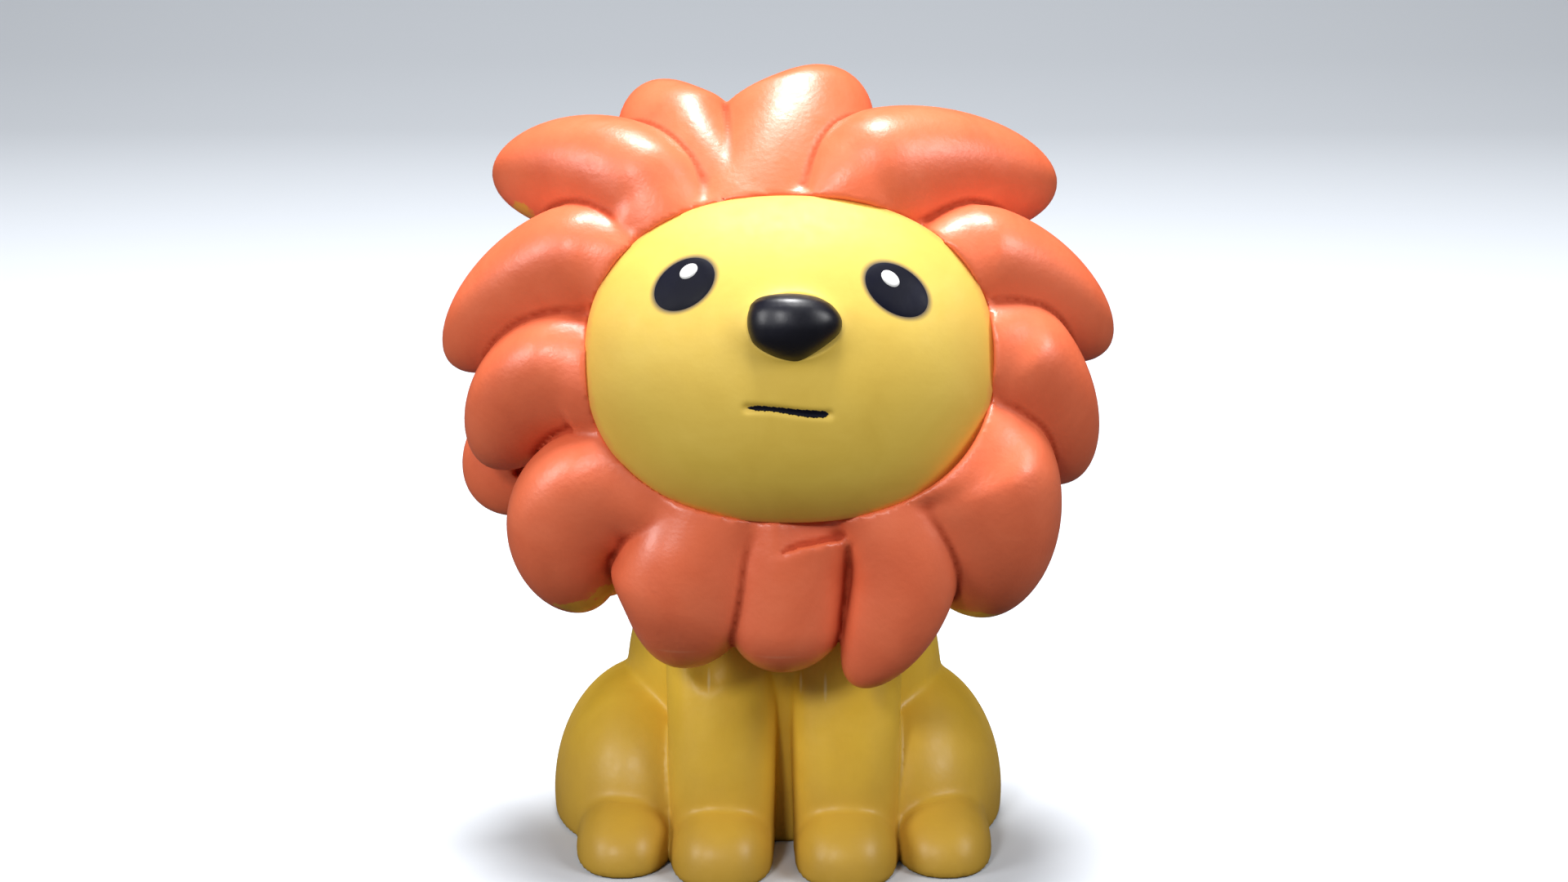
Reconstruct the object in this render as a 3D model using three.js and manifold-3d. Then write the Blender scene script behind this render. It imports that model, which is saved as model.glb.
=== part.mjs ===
// A seated toy lion in hollow cast rubber, 75 mm tall, with a squeaker pressed into its base.
// Millimetres. +Z is up, the face looks along -Y, and the origin is on the table under the middle.

import * as THREE from "three";
import { mergeVertices } from "three/addons/utils/BufferGeometryUtils.js";
import Module from "manifold-3d";

const wasm = await Module();
wasm.setup();

// Sizes that several pieces share
const wall = 1.9; // rubber skin
const baseWall = 2.4; // skin under the body, thicker where it grips the squeaker
const seam = 0.3; // gap between neighbouring pieces
const middleX = 0.6; // these move the toy, so that the middle of its box is over the origin
const middleY = 2.4;

// Body: torso sections from the base up, with half widths and half depths
const torsoSections = [
  { z: -2, halfWidth: 14.5, halfDepth: 13.5, y: 4.5 },
  { z: 7, halfWidth: 15.6, halfDepth: 13.5, y: 4 },
  { z: 15, halfWidth: 15.6, halfDepth: 12.5, y: 2.5 },
  { z: 22, halfWidth: 13.8, halfDepth: 11, y: 0.5 },
  { z: 28, halfWidth: 9.4, halfDepth: 9.2, y: -1 },
];
const neckBaseZ = 27.6; // where the body's skin ends and the neck's begins
const neckCentre = [0, -1, 32.5]; // the neck is a ball, and the head nods about its centre
const neckRadius = 9.6;
const neckTopZ = 38;

const haunchX = 12.8;
const haunchY = 1;
const haunchZ = 2;
const haunchRadii = [9.6, 13, 12.9];
const haunchShiftX = -0.6; // the haunches sit a little to the toy's right

const hindFootX = 15.3;
const hindFootHalfWidth = 4.7;
const hindFootHeight = 5.2;
const hindFootFrontY = -18;
const hindFootLength = 16;

const legX = 5.9;
const legHalfWidth = 4.9;
const legHalfDepth = 5;
const legFootY = -10.5;
const legTopY = -4.5;
const legTopZ = 25;
const legSpread = 0.15; // a leg is this much wider at the top than at the foot
const squareness = 2.4; // power of the ovals that the legs and feet are made of, where 2 is an ellipse

const pawHalfWidth = 5.2;
const pawHeight = 5.6;
const pawFrontY = -20.3;
const pawLength = 15;

const tailPoints = [[-2, 14, 3.5], [3.5, 18, 4], [8.6, 16.6, 7], [9.4, 14.8, 11.5], [7.2, 14.2, 16]];
const tailRadius = 2.1;
const tailTuftRadius = 3.7;
const tailTuftLength = 8.8;

// Squeaker, on a vertical axis through the base
const squeakerY = 5;
const barrelRadius = 6;
const barrelTopZ = 11.2;
const barrelWall = 1;
const flangeRadius = 7.8;
const flangeThickness = 0.8;
const flangeRecess = 0.3; // from the table up to the flange
const ringRadius = 6.9; // bead that holds the barrel in the skin
const ringThickness = 1;
const ventRadius = 1.8;
const ledgeZ = 3.9; // the tone block stands on this step in the barrel
const ledgeWidth = 0.8;
const toneBlockTopZ = 10.4;
const channelHalfWidth = 1.5;
const channelDepth = 2;
const channelTopZ = 8.2;
const reedHalfWidth = 1.9;
const reedThickness = 0.2;
const reedBottomZ = 4.6;
const clampBottomZ = 8.4;

// Head: its own frame leans back, so that the face looks up a little
const headCentre = [0, -3, 50];
const headTilt = THREE.MathUtils.degToRad(-14);
const coreCentre = [0.2, 0, -1.5]; // the round head that carries the locks and the face
const coreRadii = [18.8, 14.5, 17.2];

const faceX = 0.5;
const faceZ = -3.5;
const faceHalfWidth = 18.3;
const faceHalfHeight = 14.6;
const faceFrontY = -20.6;
const faceRimY = -14.2;
const faceRimDepth = 2.6; // how far the face skin reaches in behind its rim
const faceCurve = 1.096; // the dome is part of an ellipsoid this much wider than its rim
// The room behind the face, front to back: y, and how far it is inside the face's rim
const faceHollow = [[-14, 2.2], [-8, 2.2], [-3, 4], [1, 8], [3, 13]];

// Painted patches: x and halfWidth are shares of the face's half width, z and halfHeight of its half
// height, and turn is in degrees
const eyeLeft = { x: -0.504, z: 0.445, halfWidth: 0.167, halfHeight: 0.144, turn: 35 };
const eyeRight = { x: 0.512, z: 0.41, halfWidth: 0.175, halfHeight: 0.142, turn: -35 };
const glintLeft = { x: -0.484, z: 0.52, halfWidth: 0.052, halfHeight: 0.042, turn: 35 };
const glintRight = { x: 0.481, z: 0.476, halfWidth: 0.055, halfHeight: 0.044, turn: -40 };
const mouthLine = { x: -0.008, z: -0.32, halfWidth: 0.194, halfHeight: 0.02, turn: -4.5 };
const paintProud = 0.15; // a painted patch stands this far out of the face
const paintDepth = 0.55; // and goes this far in

const noseX = 0.4;
const noseZ = 2.9;
const noseHalfWidth = 4.1;
const noseHalfHeight = 2.5;
const noseProud = 2.9;
const noseTip = { width: 0.66, height: 0.98, depth: 0.85, drop: 0.26 }; // shares of the nose's own
const noseSunk = 0.5; // the nose's middle is this far in from the face's front

// Mane locks. Angles are degrees round the mane's centre, from its +X side upwards. A lock runs from
// its root angle to its tip angle. reach is how far its tip is from that centre, bow how far its
// middle bends to the left of the run, and half is half its width, all three as shares of maneRadius.
// bend is how far along the run that bow sits. cap is the length of the rounded tip over half, and
// taper the width at the root over the widest. lean turns a lock about its own run, so that one edge
// lies over its neighbour. inset is how far inside the face's rim it starts.
const maneRadius = 31.5;
const maneX = 0.4;
const maneZ = -3.1;
const frontLocks = [
  { root: 95, tip: 91, reach: 0.785, bow: -0.09, half: 0.237, lean: 0,
    inset: 1.2, bend: 0.75, rootY: -10.2, tipY: -1, cap: 0.7, taper: 0.9 },
  { root: 107.5, tip: 112, reach: 0.881, bow: 0.157, half: 0.176, lean: -23,
    inset: 1, bend: 0.75, rootY: -10.4, tipY: -1.5, cap: 1.3, taper: 0.4 },
  { root: 132, tip: 148.5, reach: 1.032, bow: -0.138, half: 0.196, lean: -28,
    inset: -0.2, bend: 0.25, rootY: -10.6, tipY: -1.5, cap: 1.95, taper: 0.6 },
  { root: 151, tip: 181, reach: 1.006, bow: -0.112, half: 0.192, lean: -28,
    inset: 0.3, bend: 0.25, rootY: -10.7, tipY: -2, cap: 2.3, taper: 0.35 },
  { root: 184, tip: 200, reach: 0.942, bow: -0.141, half: 0.186, lean: -28,
    inset: 0.4, bend: 0.25, rootY: -10.8, tipY: -2.5, cap: 1.7, taper: 0.6 },
  { root: 220.5, tip: 232.5, reach: 0.936, bow: -0.337, half: 0.196, lean: -28,
    inset: 0.65, bend: 0.4, rootY: -10.9, tipY: -4, cap: 1.3, taper: 0.65 },
  { root: 238.5, tip: 243, reach: 0.942, bow: 0.112, half: 0.221, lean: -21,
    inset: 0.7, bend: 0.75, rootY: -11, tipY: -6.8, cap: 1.2, taper: 0.45 },
  { root: 279.5, tip: 269.5, reach: 0.923, bow: -0.048, half: 0.16, lean: -14,
    inset: 1.3, bend: 0.5, rootY: -11, tipY: -7.3, cap: 0.95, taper: 0.95 },
  { root: 292, tip: 279, reach: 0.785, bow: 0.064, half: 0.144, lean: 0,
    inset: 1.3, bend: 0.5, rootY: -8, tipY: -6.5, cap: 1.2, taper: 0.9 },
  { root: 304.5, tip: 281, reach: 0.981, bow: 0.234, half: 0.157, lean: 0,
    inset: 0.45, bend: 0.25, rootY: -11.3, tipY: -8.4, cap: 2.25, taper: 0.6 },
  { root: 331.5, tip: 306, reach: 0.942, bow: 0.074, half: 0.256, lean: 26,
    inset: 0.4, bend: 0.25, rootY: -11.1, tipY: -4.2, cap: 1.4, taper: 0.55 },
  { root: 363, tip: 336.5, reach: 0.913, bow: 0.051, half: 0.212, lean: 28,
    inset: 0.65, bend: 0.25, rootY: -10.9, tipY: -2.5, cap: 1.8, taper: 0.35 },
  { root: 29, tip: 1.5, reach: 0.949, bow: 0.077, half: 0.192, lean: 28,
    inset: 0.9, bend: 0.25, rootY: -10.7, tipY: -2, cap: 2.3, taper: 0.45 },
  { root: 70.5, tip: 32.5, reach: 0.949, bow: 0.08, half: 0.218, lean: 25,
    inset: -0.5, bend: 0.25, rootY: -10.5, tipY: -1.5, cap: 2.3, taper: 0.35 },
];
const frontFlatness = 0.82; // thickness over width
const rimThickness = 6; // of a lock of the front row where it meets the face's rim
const leanShare = 0.6; // a lock has its full lean this far along its body, and none at its root
const hiddenRoot = 1; // the side of a lock under its neighbour is this full at its root
// The collar that the locks grow from, front to back: y, and how far it stands out past the face's rim
const collarProfile = [[-12.6, 0], [-11.8, 2], [-9.8, 3.4], [-7, 4.8], [-3.5, 4], [0, -1]];
// A second row behind them, seen between their tips and from behind
const secondRow = { rootReach: 0.45, rootY: 0.5, tipY: 4.5 };
const secondLocks = [
  { root: 60, tip: 60, reach: 0.79, bow: 0.032 },
  { root: 100, tip: 100, reach: 0.806, bow: -0.032 },
  { root: 134, tip: 134, reach: 0.871, bow: -0.065 },
  { root: 164, tip: 166, reach: 0.887, bow: -0.13 },
  { root: 190, tip: 207, reach: 1.035, bow: -0.16 },
  { root: 217, tip: 231, reach: 0.945, bow: -0.13 },
  { root: 318, tip: 308, reach: 0.839, bow: 0.097 },
  { root: 346, tip: 332, reach: 0.839, bow: 0.13 },
  { root: 14, tip: 8, reach: 0.855, bow: 0.13 },
];
// Shorter rows cover the back of the head, down to the nape
const backRows = [
  { angles: [-20, 20, 64, 110, 156, 200], rootReach: 0.29, reach: 0.71, bow: 0.13, rootY: 4.5, tipY: 8.5 },
  { angles: [-42, 0, 45, 90, 135, 180, 222], rootReach: 0.13, reach: 0.5, bow: 0.1, rootY: 8, tipY: 12.5 },
  { angles: [240, 270, 300], rootReach: 0.1, reach: 0.387, bow: 0, rootY: 10.5, tipY: 16.5 },
  { angles: [20, 160, 270], rootReach: 0, reach: 0.258, bow: 0.065, rootY: 11, tipY: 15.5 },
];
const backLock = { half: 0.187, flatness: 0.64, lean: 0, bend: 0.5, cap: 1.2, taper: 0.9 };
const rootDepth = 5; // every lock starts this far back along its run, buried in the head
const rootShrink = 0.9; // and is that much thinner there

// Geometry helpers

const overlap = 2; // how far a cutting solid runs past what it cuts
const degrees = THREE.MathUtils.degToRad;
const atRest = new THREE.Matrix4();
const far = 60; // past the toy on every side

function solid(shape) {
  const flat = shape.clone();
  flat.deleteAttribute("normal");
  flat.deleteAttribute("uv");
  const merged = mergeVertices(flat, 1e-4);
  const vertProperties = merged.attributes.position.array;
  return new wasm.Manifold(new wasm.Mesh({ numProp: 3, vertProperties, triVerts: merged.index.array }));
}

function geometryOf(manifold) {
  const { vertProperties, triVerts } = manifold.getMesh();
  const shape = new THREE.BufferGeometry();
  shape.setAttribute("position", new THREE.BufferAttribute(vertProperties, 3));
  shape.setIndex(new THREE.BufferAttribute(triVerts, 1));
  const facets = shape.toNonIndexed();
  facets.computeVertexNormals();
  return facets;
}

function join(solids) {
  return solids.reduce((all, next) => all.add(next));
}

function ellipsoid(centre, radii, columns, rows, frame = atRest) {
  const shape = new THREE.SphereGeometry(1, columns, rows);
  return solid(shape.scale(...radii).translate(...centre).applyMatrix4(frame));
}

function box(low, high) {
  const size = high.map((value, axis) => value - low[axis]);
  const centre = high.map((value, axis) => (value + low[axis]) / 2);
  return solid(new THREE.BoxGeometry(...size).translate(...centre));
}

// Points on an oval round a middle point, with its half axes as vectors. A power of 2 gives an
// ellipse, and more than that squarer corners.
function oval(middle, across, out, sides, power = 2) {
  const points = [];
  const reach = (value) => Math.sign(value) * Math.abs(value) ** (2 / power);
  for (let side = 0; side < sides; side++) {
    const angle = (2 * Math.PI * side) / sides;
    const point = middle.clone().addScaledVector(across, reach(Math.cos(angle)));
    points.push(point.addScaledVector(out, reach(Math.sin(angle))));
  }
  return points;
}

function levelOval(x, y, z, halfWidth, halfDepth, sides, power = 2) {
  const middle = new THREE.Vector3(x, y, z);
  const across = new THREE.Vector3(halfWidth, 0, 0);
  return oval(middle, across, new THREE.Vector3(0, halfDepth, 0), sides, power);
}

// A closed skin over rings that all have as many points, anticlockwise seen from the last ring
function loft(rings) {
  const sides = rings[0].length;
  const points = rings.flat();
  const faces = [];
  for (let ring = 0; ring + 1 < rings.length; ring++) {
    for (let side = 0; side < sides; side++) {
      const a = ring * sides + side;
      const b = ring * sides + ((side + 1) % sides);
      faces.push(a, b, b + sides, a, b + sides, a + sides);
    }
  }
  const last = (rings.length - 1) * sides;
  for (const [first, flip] of [[0, true], [last, false]]) {
    const middle = points.length;
    const centre = new THREE.Vector3();
    for (let side = 0; side < sides; side++) {
      centre.addScaledVector(points[first + side], 1 / sides);
    }
    points.push(centre);
    for (let side = 0; side < sides; side++) {
      const a = first + side;
      const b = first + ((side + 1) % sides);
      faces.push(...(flip ? [b, a, middle] : [a, b, middle]));
    }
  }
  const shape = new THREE.BufferGeometry().setFromPoints(points);
  shape.setIndex(faces);
  return shape;
}

// An upright revolved piece from a profile of [radius, z] pairs that starts and ends on the axis
function turned(profile, columns = 32) {
  const points = profile.map(([radius, z]) => new THREE.Vector2(radius, z));
  return new THREE.LatheGeometry(points, columns).rotateX(Math.PI / 2);
}

function disc(radius, low, high, columns) {
  return turned([[0, low], [radius, low], [radius, high], [0, high]], columns);
}

function pointAt(angle, reach, y) {
  return new THREE.Vector3(reach * Math.cos(degrees(angle)), y, reach * Math.sin(degrees(angle)));
}

// Body

const bodySides = 26; // facets round the body's outside
const hollowSides = 16; // and round its inside

function torso(inset, sides = bodySides) {
  const rings = torsoSections.map(({ z, halfWidth, halfDepth, y }) => {
    return levelOval(0, y, z, halfWidth - inset, halfDepth - inset, sides);
  });
  return solid(loft(smoothRings(rings, 2)));
}

// Rings added between the given ones on a smooth curve through each column of points
function smoothRings(rings, perGap) {
  const columns = rings[0].map((point, side) => {
    const curve = new THREE.CatmullRomCurve3(rings.map((ring) => ring[side]));
    return curve.getPoints(perGap * (rings.length - 1));
  });
  return columns[0].map((point, step) => columns.map((column) => column[step]));
}

// A paw or foot: an ellipsoid with full corners, whose middle is on the table
function foot(x, frontY, length, halfWidth, height) {
  const rings = [-20, 0, 20, 38, 54, 68, 80].map((rise) => {
    const narrow = Math.cos(degrees(rise)) ** (2 / squareness);
    const z = height * Math.sign(rise) * Math.abs(Math.sin(degrees(rise))) ** (2 / squareness);
    const middleY = frontY + length / 2;
    return levelOval(x, middleY, z, halfWidth * narrow, (length / 2) * narrow, 18, squareness);
  });
  return solid(loft(rings));
}

function leg(x, inset, sides) {
  const rings = [-0.08, 0.24, 0.52, 0.76, 1].map((share) => {
    const y = legFootY + (legTopY - legFootY) * share * share;
    const halfWidth = legHalfWidth * (1 + legSpread * share) - inset;
    return levelOval(x, y, share * legTopZ, halfWidth, legHalfDepth - inset, sides, squareness);
  });
  return solid(loft(rings));
}

const tailPath = new THREE.CatmullRomCurve3(tailPoints.map((point) => new THREE.Vector3(...point)));

function tail() {
  const section = new THREE.Shape().absellipse(0, 0, tailRadius, tailRadius, 0, 2 * Math.PI);
  return solid(new THREE.ExtrudeGeometry(section, { extrudePath: tailPath, steps: 12, curveSegments: 5 }));
}

function bodyForm(inset, sides) {
  const forms = [torso(inset, sides)];
  const radii = haunchRadii.map((radius) => radius - inset);
  for (const side of [-1, 1]) {
    const centre = [haunchShiftX + side * haunchX, haunchY, haunchZ];
    forms.push(ellipsoid(centre, radii, sides, Math.round(sides * 0.6)));
    forms.push(leg(side * legX, inset, Math.round(sides * 0.6)));
  }
  return join(forms);
}

function bodySkin() {
  const forms = [bodyForm(0, bodySides), tail()];
  for (const side of [-1, 1]) {
    const hindX = side * hindFootX;
    forms.push(foot(hindX, hindFootFrontY, hindFootLength, hindFootHalfWidth, hindFootHeight));
    forms.push(foot(side * legX, pawFrontY, pawLength, pawHalfWidth, pawHeight));
  }
  const underneath = box([-far, -far, -far], [far, far, 0]);
  const above = box([-far, -far, neckBaseZ], [far, far, far]);
  const floor = box([-far, -far, -far], [far, far, baseWall]);
  const hollow = bodyForm(wall, hollowSides).subtract(floor);
  const seat = flangeRecess + flangeThickness + seam;
  const mouth = turned([
    [0, -overlap],
    [flangeRadius + seam, -overlap],
    [flangeRadius + seam, seat],
    [barrelRadius + seam, seat],
    [barrelRadius + seam, baseWall + overlap],
    [0, baseWall + overlap],
  ]);
  const squeakerHole = solid(mouth.translate(0, squeakerY, 0));
  return join(forms).subtract(underneath).subtract(above).subtract(hollow).subtract(squeakerHole);
}

// A fat drop on the tail's end, flattened where it lies against the back
function tailTuft() {
  const end = tailPath.getPoint(1);
  const along = tailPath.getTangent(1);
  const across = new THREE.Vector3(0, 1, 0).cross(along).normalize();
  const out = along.clone().cross(across);
  const widths = [0.55, 0.88, 1, 0.85, 0.52, 0.2];
  const rings = widths.map((width, step) => {
    const middle = end.clone().addScaledVector(along, seam + (tailTuftLength * step) / (widths.length - 1));
    const radius = width * tailTuftRadius;
    return oval(middle, across.clone().multiplyScalar(radius), out.clone().multiplyScalar(radius), 12);
  });
  return solid(loft(rings)).subtract(torso(-seam));
}

function neckBall(radius, frame) {
  return ellipsoid(neckCentre, [radius, radius, radius], 24, 12, frame);
}

// The neck's skin is a hollow ball, open into the body below and into the head above
function neckSkin() {
  const slab = box([-neckRadius, -far, neckBaseZ + seam], [neckRadius, far, neckTopZ]);
  return neckBall(neckRadius, atRest).subtract(neckBall(neckRadius - wall, atRest)).intersect(slab);
}

// Head, in its own frame

const headFrame = new THREE.Matrix4().makeRotationX(headTilt).setPosition(...headCentre);
const intoHead = headFrame.clone().invert();

// A lock of the mane: a fat leaf along a bent spine, from a buried root to a rounded tip. flatness is
// its thickness over its width, and rootThick half its thickness at the root.
function lock(start, end, shape, sides) {
  const { bend, cap, taper, lean, flatness } = shape;
  const half = shape.half * maneRadius;
  const thick = half * flatness;
  const rootThick = shape.rootThick ?? thick;
  const chord = end.clone().sub(start);
  const left = new THREE.Vector3(-chord.z, 0, chord.x).normalize();
  const knee = start.clone().addScaledVector(chord, bend).addScaledVector(left, shape.bow * maneRadius);
  const spine = new THREE.QuadraticBezierCurve3(start, knee, end);
  const widestAt = 1 - (cap * half) / chord.length();
  const rings = [];
  const addRing = (middle, along, width, hiddenWidth, thickness, leaning) => {
    const across = new THREE.Vector3(0, 1, 0).cross(along).normalize();
    across.applyAxisAngle(along, degrees(lean * leaning));
    const out = along.clone().cross(across);
    const ring = oval(middle, across.clone().multiplyScalar(width), out.multiplyScalar(thickness), sides);
    for (const point of ring) {
      const aside = point.clone().sub(middle).dot(across);
      if (aside * lean > 0) {
        point.addScaledVector(across, aside * (hiddenWidth / width - 1));
      }
    }
    rings.push(ring);
  };
  const along = spine.getTangent(0);
  const buried = start.clone().addScaledVector(along, -rootDepth);
  buried.y += rootDepth / 2;
  const hiddenTaper = Math.max(taper, hiddenRoot);
  const narrow = half * rootShrink;
  addRing(buried, along, narrow * taper, narrow * hiddenTaper, rootThick * rootShrink, 0);
  for (const share of [0, 0.25, 0.6]) {
    const at = share * widestAt;
    const grown = Math.sin((share * Math.PI) / 2);
    const width = half * (taper + (1 - taper) * grown);
    const hiddenWidth = half * (hiddenTaper + (1 - hiddenTaper) * grown);
    const thickness = rootThick + (thick - rootThick) * grown;
    const leaning = Math.sin(Math.min(1, share / leanShare) * Math.PI / 2) ** 2;
    addRing(spine.getPoint(at), spine.getTangent(at), width, hiddenWidth, thickness, leaning);
  }
  for (const turn of [0, 28, 52, 70, 84]) {
    const at = widestAt + (1 - widestAt) * Math.sin(degrees(turn));
    const width = half * Math.cos(degrees(turn));
    addRing(spine.getPoint(at), spine.getTangent(at), width, width, width * flatness, 1);
  }
  return solid(loft(rings));
}

function rimReach(angle) {
  const across = Math.cos(degrees(angle)) / faceHalfWidth;
  const up = Math.sin(degrees(angle)) / faceHalfHeight;
  return 1 / Math.hypot(across, up);
}

function coreForm(raise, frame) {
  return ellipsoid(coreCentre, coreRadii.map((radius) => radius + raise), 24, 14, frame);
}

// A round disc behind the face, with an edge that goes in and out from the face's rim
function faceDisc(profile, sides) {
  const rings = profile.map(([y, raise]) => {
    const middle = new THREE.Vector3(faceX, y, faceZ);
    const across = new THREE.Vector3(faceHalfWidth + raise, 0, 0);
    const up = new THREE.Vector3(0, 0, faceHalfHeight + raise);
    return oval(middle, up, across, sides);
  });
  return solid(loft(rings));
}

function maneForm() {
  const maneCentre = new THREE.Vector3(maneX, 0, maneZ);
  const backCentre = new THREE.Vector3(...coreCentre);
  const forms = [coreForm(0), faceDisc(collarProfile, 40)];
  const frontForm = { flatness: frontFlatness, rootThick: rimThickness / 2 };
  for (const front of frontLocks) {
    const start = pointAt(front.root, rimReach(front.root) - front.inset, front.rootY).add(maneCentre);
    const end = pointAt(front.tip, front.reach * maneRadius, front.tipY).add(maneCentre);
    forms.push(lock(start, end, { ...frontForm, ...front }, 12));
  }
  for (const second of secondLocks) {
    const start = pointAt(second.root, secondRow.rootReach * maneRadius, secondRow.rootY).add(maneCentre);
    const end = pointAt(second.tip, second.reach * maneRadius, secondRow.tipY).add(maneCentre);
    forms.push(lock(start, end, { ...backLock, bow: second.bow }, 10));
  }
  for (const row of backRows) {
    for (const angle of row.angles) {
      const start = pointAt(angle, row.rootReach * maneRadius, row.rootY).add(backCentre);
      const end = pointAt(angle, row.reach * maneRadius, row.tipY).add(backCentre);
      const bow = Math.cos(degrees(angle)) > 0 ? row.bow : -row.bow;
      forms.push(lock(start, end, { ...backLock, bow }, 8));
    }
  }
  return join(forms);
}

// The face's dome as a closed solid, raised by some millimetres and reaching back past its rim
function faceDome(raise, backY) {
  const reach = faceHalfHeight * faceCurve;
  const flat = Math.sqrt(1 - (faceHalfHeight / reach) ** 2);
  const depth = (faceRimY - faceFrontY) / (1 - flat);
  const profile = [];
  const steps = 7;
  for (let step = 0; step <= steps; step++) {
    const radius = ((faceHalfHeight + raise) * step) / steps;
    const share = Math.min(1, radius / (reach + raise));
    profile.push([radius, -(faceFrontY + depth) + (depth + raise) * Math.sqrt(1 - share * share)]);
  }
  profile.push([faceHalfHeight + raise, -backY]);
  profile.push([0, -backY]);
  profile.reverse();
  const shape = turned(profile, 36).rotateX(Math.PI / 2);
  const stretch = (faceHalfWidth + raise) / (faceHalfHeight + raise);
  return solid(shape.scale(stretch, 1, 1).translate(faceX, 0, faceZ));
}

// A round or oval prism through the face, for cutting a painted patch or its pocket
function patchPrism({ x, z, halfWidth, halfHeight, turn }, grow) {
  const shape = new THREE.CylinderGeometry(1, 1, far, 20);
  shape.scale(halfWidth * faceHalfWidth + grow, 1, halfHeight * faceHalfHeight + grow);
  shape.rotateY(-degrees(turn));
  return solid(shape.translate(faceX + x * faceHalfWidth, faceFrontY, faceZ + z * faceHalfHeight));
}

const patchBackY = faceRimY + overlap;

function patch(outline) {
  const below = faceDome(-paintDepth, 0);
  return patchPrism(outline, 0).intersect(faceDome(paintProud, patchBackY)).subtract(below);
}

function pocket(outline) {
  return patchPrism(outline, seam).subtract(faceDome(-paintDepth - seam, 0));
}

function eye(outline, glint) {
  return patch(outline).subtract(patchPrism(glint, seam));
}

function faceSkin() {
  const backY = faceRimY + faceRimDepth;
  let skin = faceDome(0, backY).subtract(faceDome(-wall, backY + overlap));
  for (const outline of [eyeLeft, eyeRight, mouthLine]) {
    skin = skin.subtract(pocket(outline));
  }
  return skin;
}

// The nose: a broad upper part and a narrower tip under it
function nose() {
  const x = faceX + noseX;
  const y = faceFrontY + noseSunk;
  const z = faceZ + noseZ;
  const upper = ellipsoid([x, y, z], [noseHalfWidth, noseProud, noseHalfHeight], 20, 12);
  const { width, height, depth, drop } = noseTip;
  const tipRadii = [noseHalfWidth * width, noseProud * depth, noseHalfHeight * height];
  const tip = ellipsoid([x, y, z - noseHalfHeight * drop], tipRadii, 16, 10);
  return upper.add(tip).subtract(faceDome(seam, 0));
}

function maneSkin() {
  const socketBack = faceRimY + faceRimDepth + seam;
  const socket = new THREE.CylinderGeometry(1, 1, far, 48);
  socket.scale(faceHalfWidth + seam, 1, faceHalfHeight + seam);
  socket.translate(faceX, socketBack - far / 2, faceZ);
  const behindFace = faceDisc(faceHollow.map(([y, inset]) => [y, -inset]), 24);
  const hollow = coreForm(-wall).add(behindFace).add(neckBall(neckRadius + seam, intoHead));
  return maneForm().subtract(solid(socket)).subtract(hollow);
}

// Squeaker

function squeakerBarrel() {
  const bore = barrelRadius - barrelWall;
  const flangeTop = flangeRecess + flangeThickness;
  const ringZ = baseWall + seam;
  return solid(turned([
    [ventRadius, flangeRecess],
    [flangeRadius, flangeRecess],
    [flangeRadius, flangeTop],
    [barrelRadius, flangeTop],
    [barrelRadius, ringZ],
    [ringRadius, ringZ + ringThickness / 3],
    [ringRadius, ringZ + (2 * ringThickness) / 3],
    [barrelRadius, ringZ + ringThickness],
    [barrelRadius, barrelTopZ],
    [bore, barrelTopZ],
    [bore, ledgeZ],
    [bore - ledgeWidth, ledgeZ],
    [bore - ledgeWidth, flangeTop],
    [ventRadius, flangeTop],
    [ventRadius, flangeRecess],
  ], 28).translate(0, squeakerY, 0));
}

function insertHalf(fromY, toY, lowZ, highZ) {
  const radius = barrelRadius - barrelWall - seam;
  const round = solid(disc(radius, lowZ, highZ, 28));
  return round.intersect(box([-radius, fromY, lowZ - overlap], [radius, toY, highZ + overlap]));
}

const blockFaceY = -seam;
const clampFaceY = reedThickness + seam;

function toneBlock() {
  const radius = barrelRadius;
  const block = insertHalf(-radius, blockFaceY, ledgeZ + seam, toneBlockTopZ);
  const channelLow = [-channelHalfWidth, blockFaceY - channelDepth, ledgeZ - overlap];
  return block.subtract(box(channelLow, [channelHalfWidth, radius, channelTopZ]));
}

function reedClamp() {
  return insertHalf(clampFaceY, barrelRadius, clampBottomZ, toneBlockTopZ);
}

function reed() {
  return box([-reedHalfWidth, 0, reedBottomZ], [reedHalfWidth, reedThickness, toneBlockTopZ]);
}

// Scene graph

const yellowRubber = { color: 0xd9b84a, roughness: 0.5, metalness: 0 };
const faceRubber = { color: 0xead873, roughness: 0.45, metalness: 0 };
const orangePaint = { color: 0xe0714a, roughness: 0.42, metalness: 0 };
const blackPaint = { color: 0x101018, roughness: 0.3, metalness: 0 };
const whitePaint = { color: 0xf4f4f0, roughness: 0.4, metalness: 0 };
const whitePlastic = { color: 0xe6e4dc, roughness: 0.45, metalness: 0 };
const reedPlastic = { color: 0xc9d3dc, roughness: 0.3, metalness: 0 };

function piece(name, shape, look) {
  const mesh = new THREE.Mesh(geometryOf(shape), new THREE.MeshStandardMaterial(look));
  mesh.name = name;
  return mesh;
}

const toy = new THREE.Group();
toy.position.set(middleX, middleY, 0);

const body = new THREE.Group();
body.add(piece("body_skin", bodySkin(), yellowRubber));
body.add(piece("tail_tuft", tailTuft(), orangePaint));
body.add(piece("neck_skin", neckSkin(), yellowRubber));
toy.add(body);

const squeaker = new THREE.Group();
squeaker.add(piece("squeaker_barrel", squeakerBarrel(), whitePlastic));
const insert = new THREE.Group();
insert.position.y = squeakerY;
insert.add(piece("tone_block", toneBlock(), whitePlastic));
insert.add(piece("reed_clamp", reedClamp(), whitePlastic));
insert.add(piece("reed", reed(), reedPlastic));
squeaker.add(insert);
toy.add(squeaker);

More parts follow.
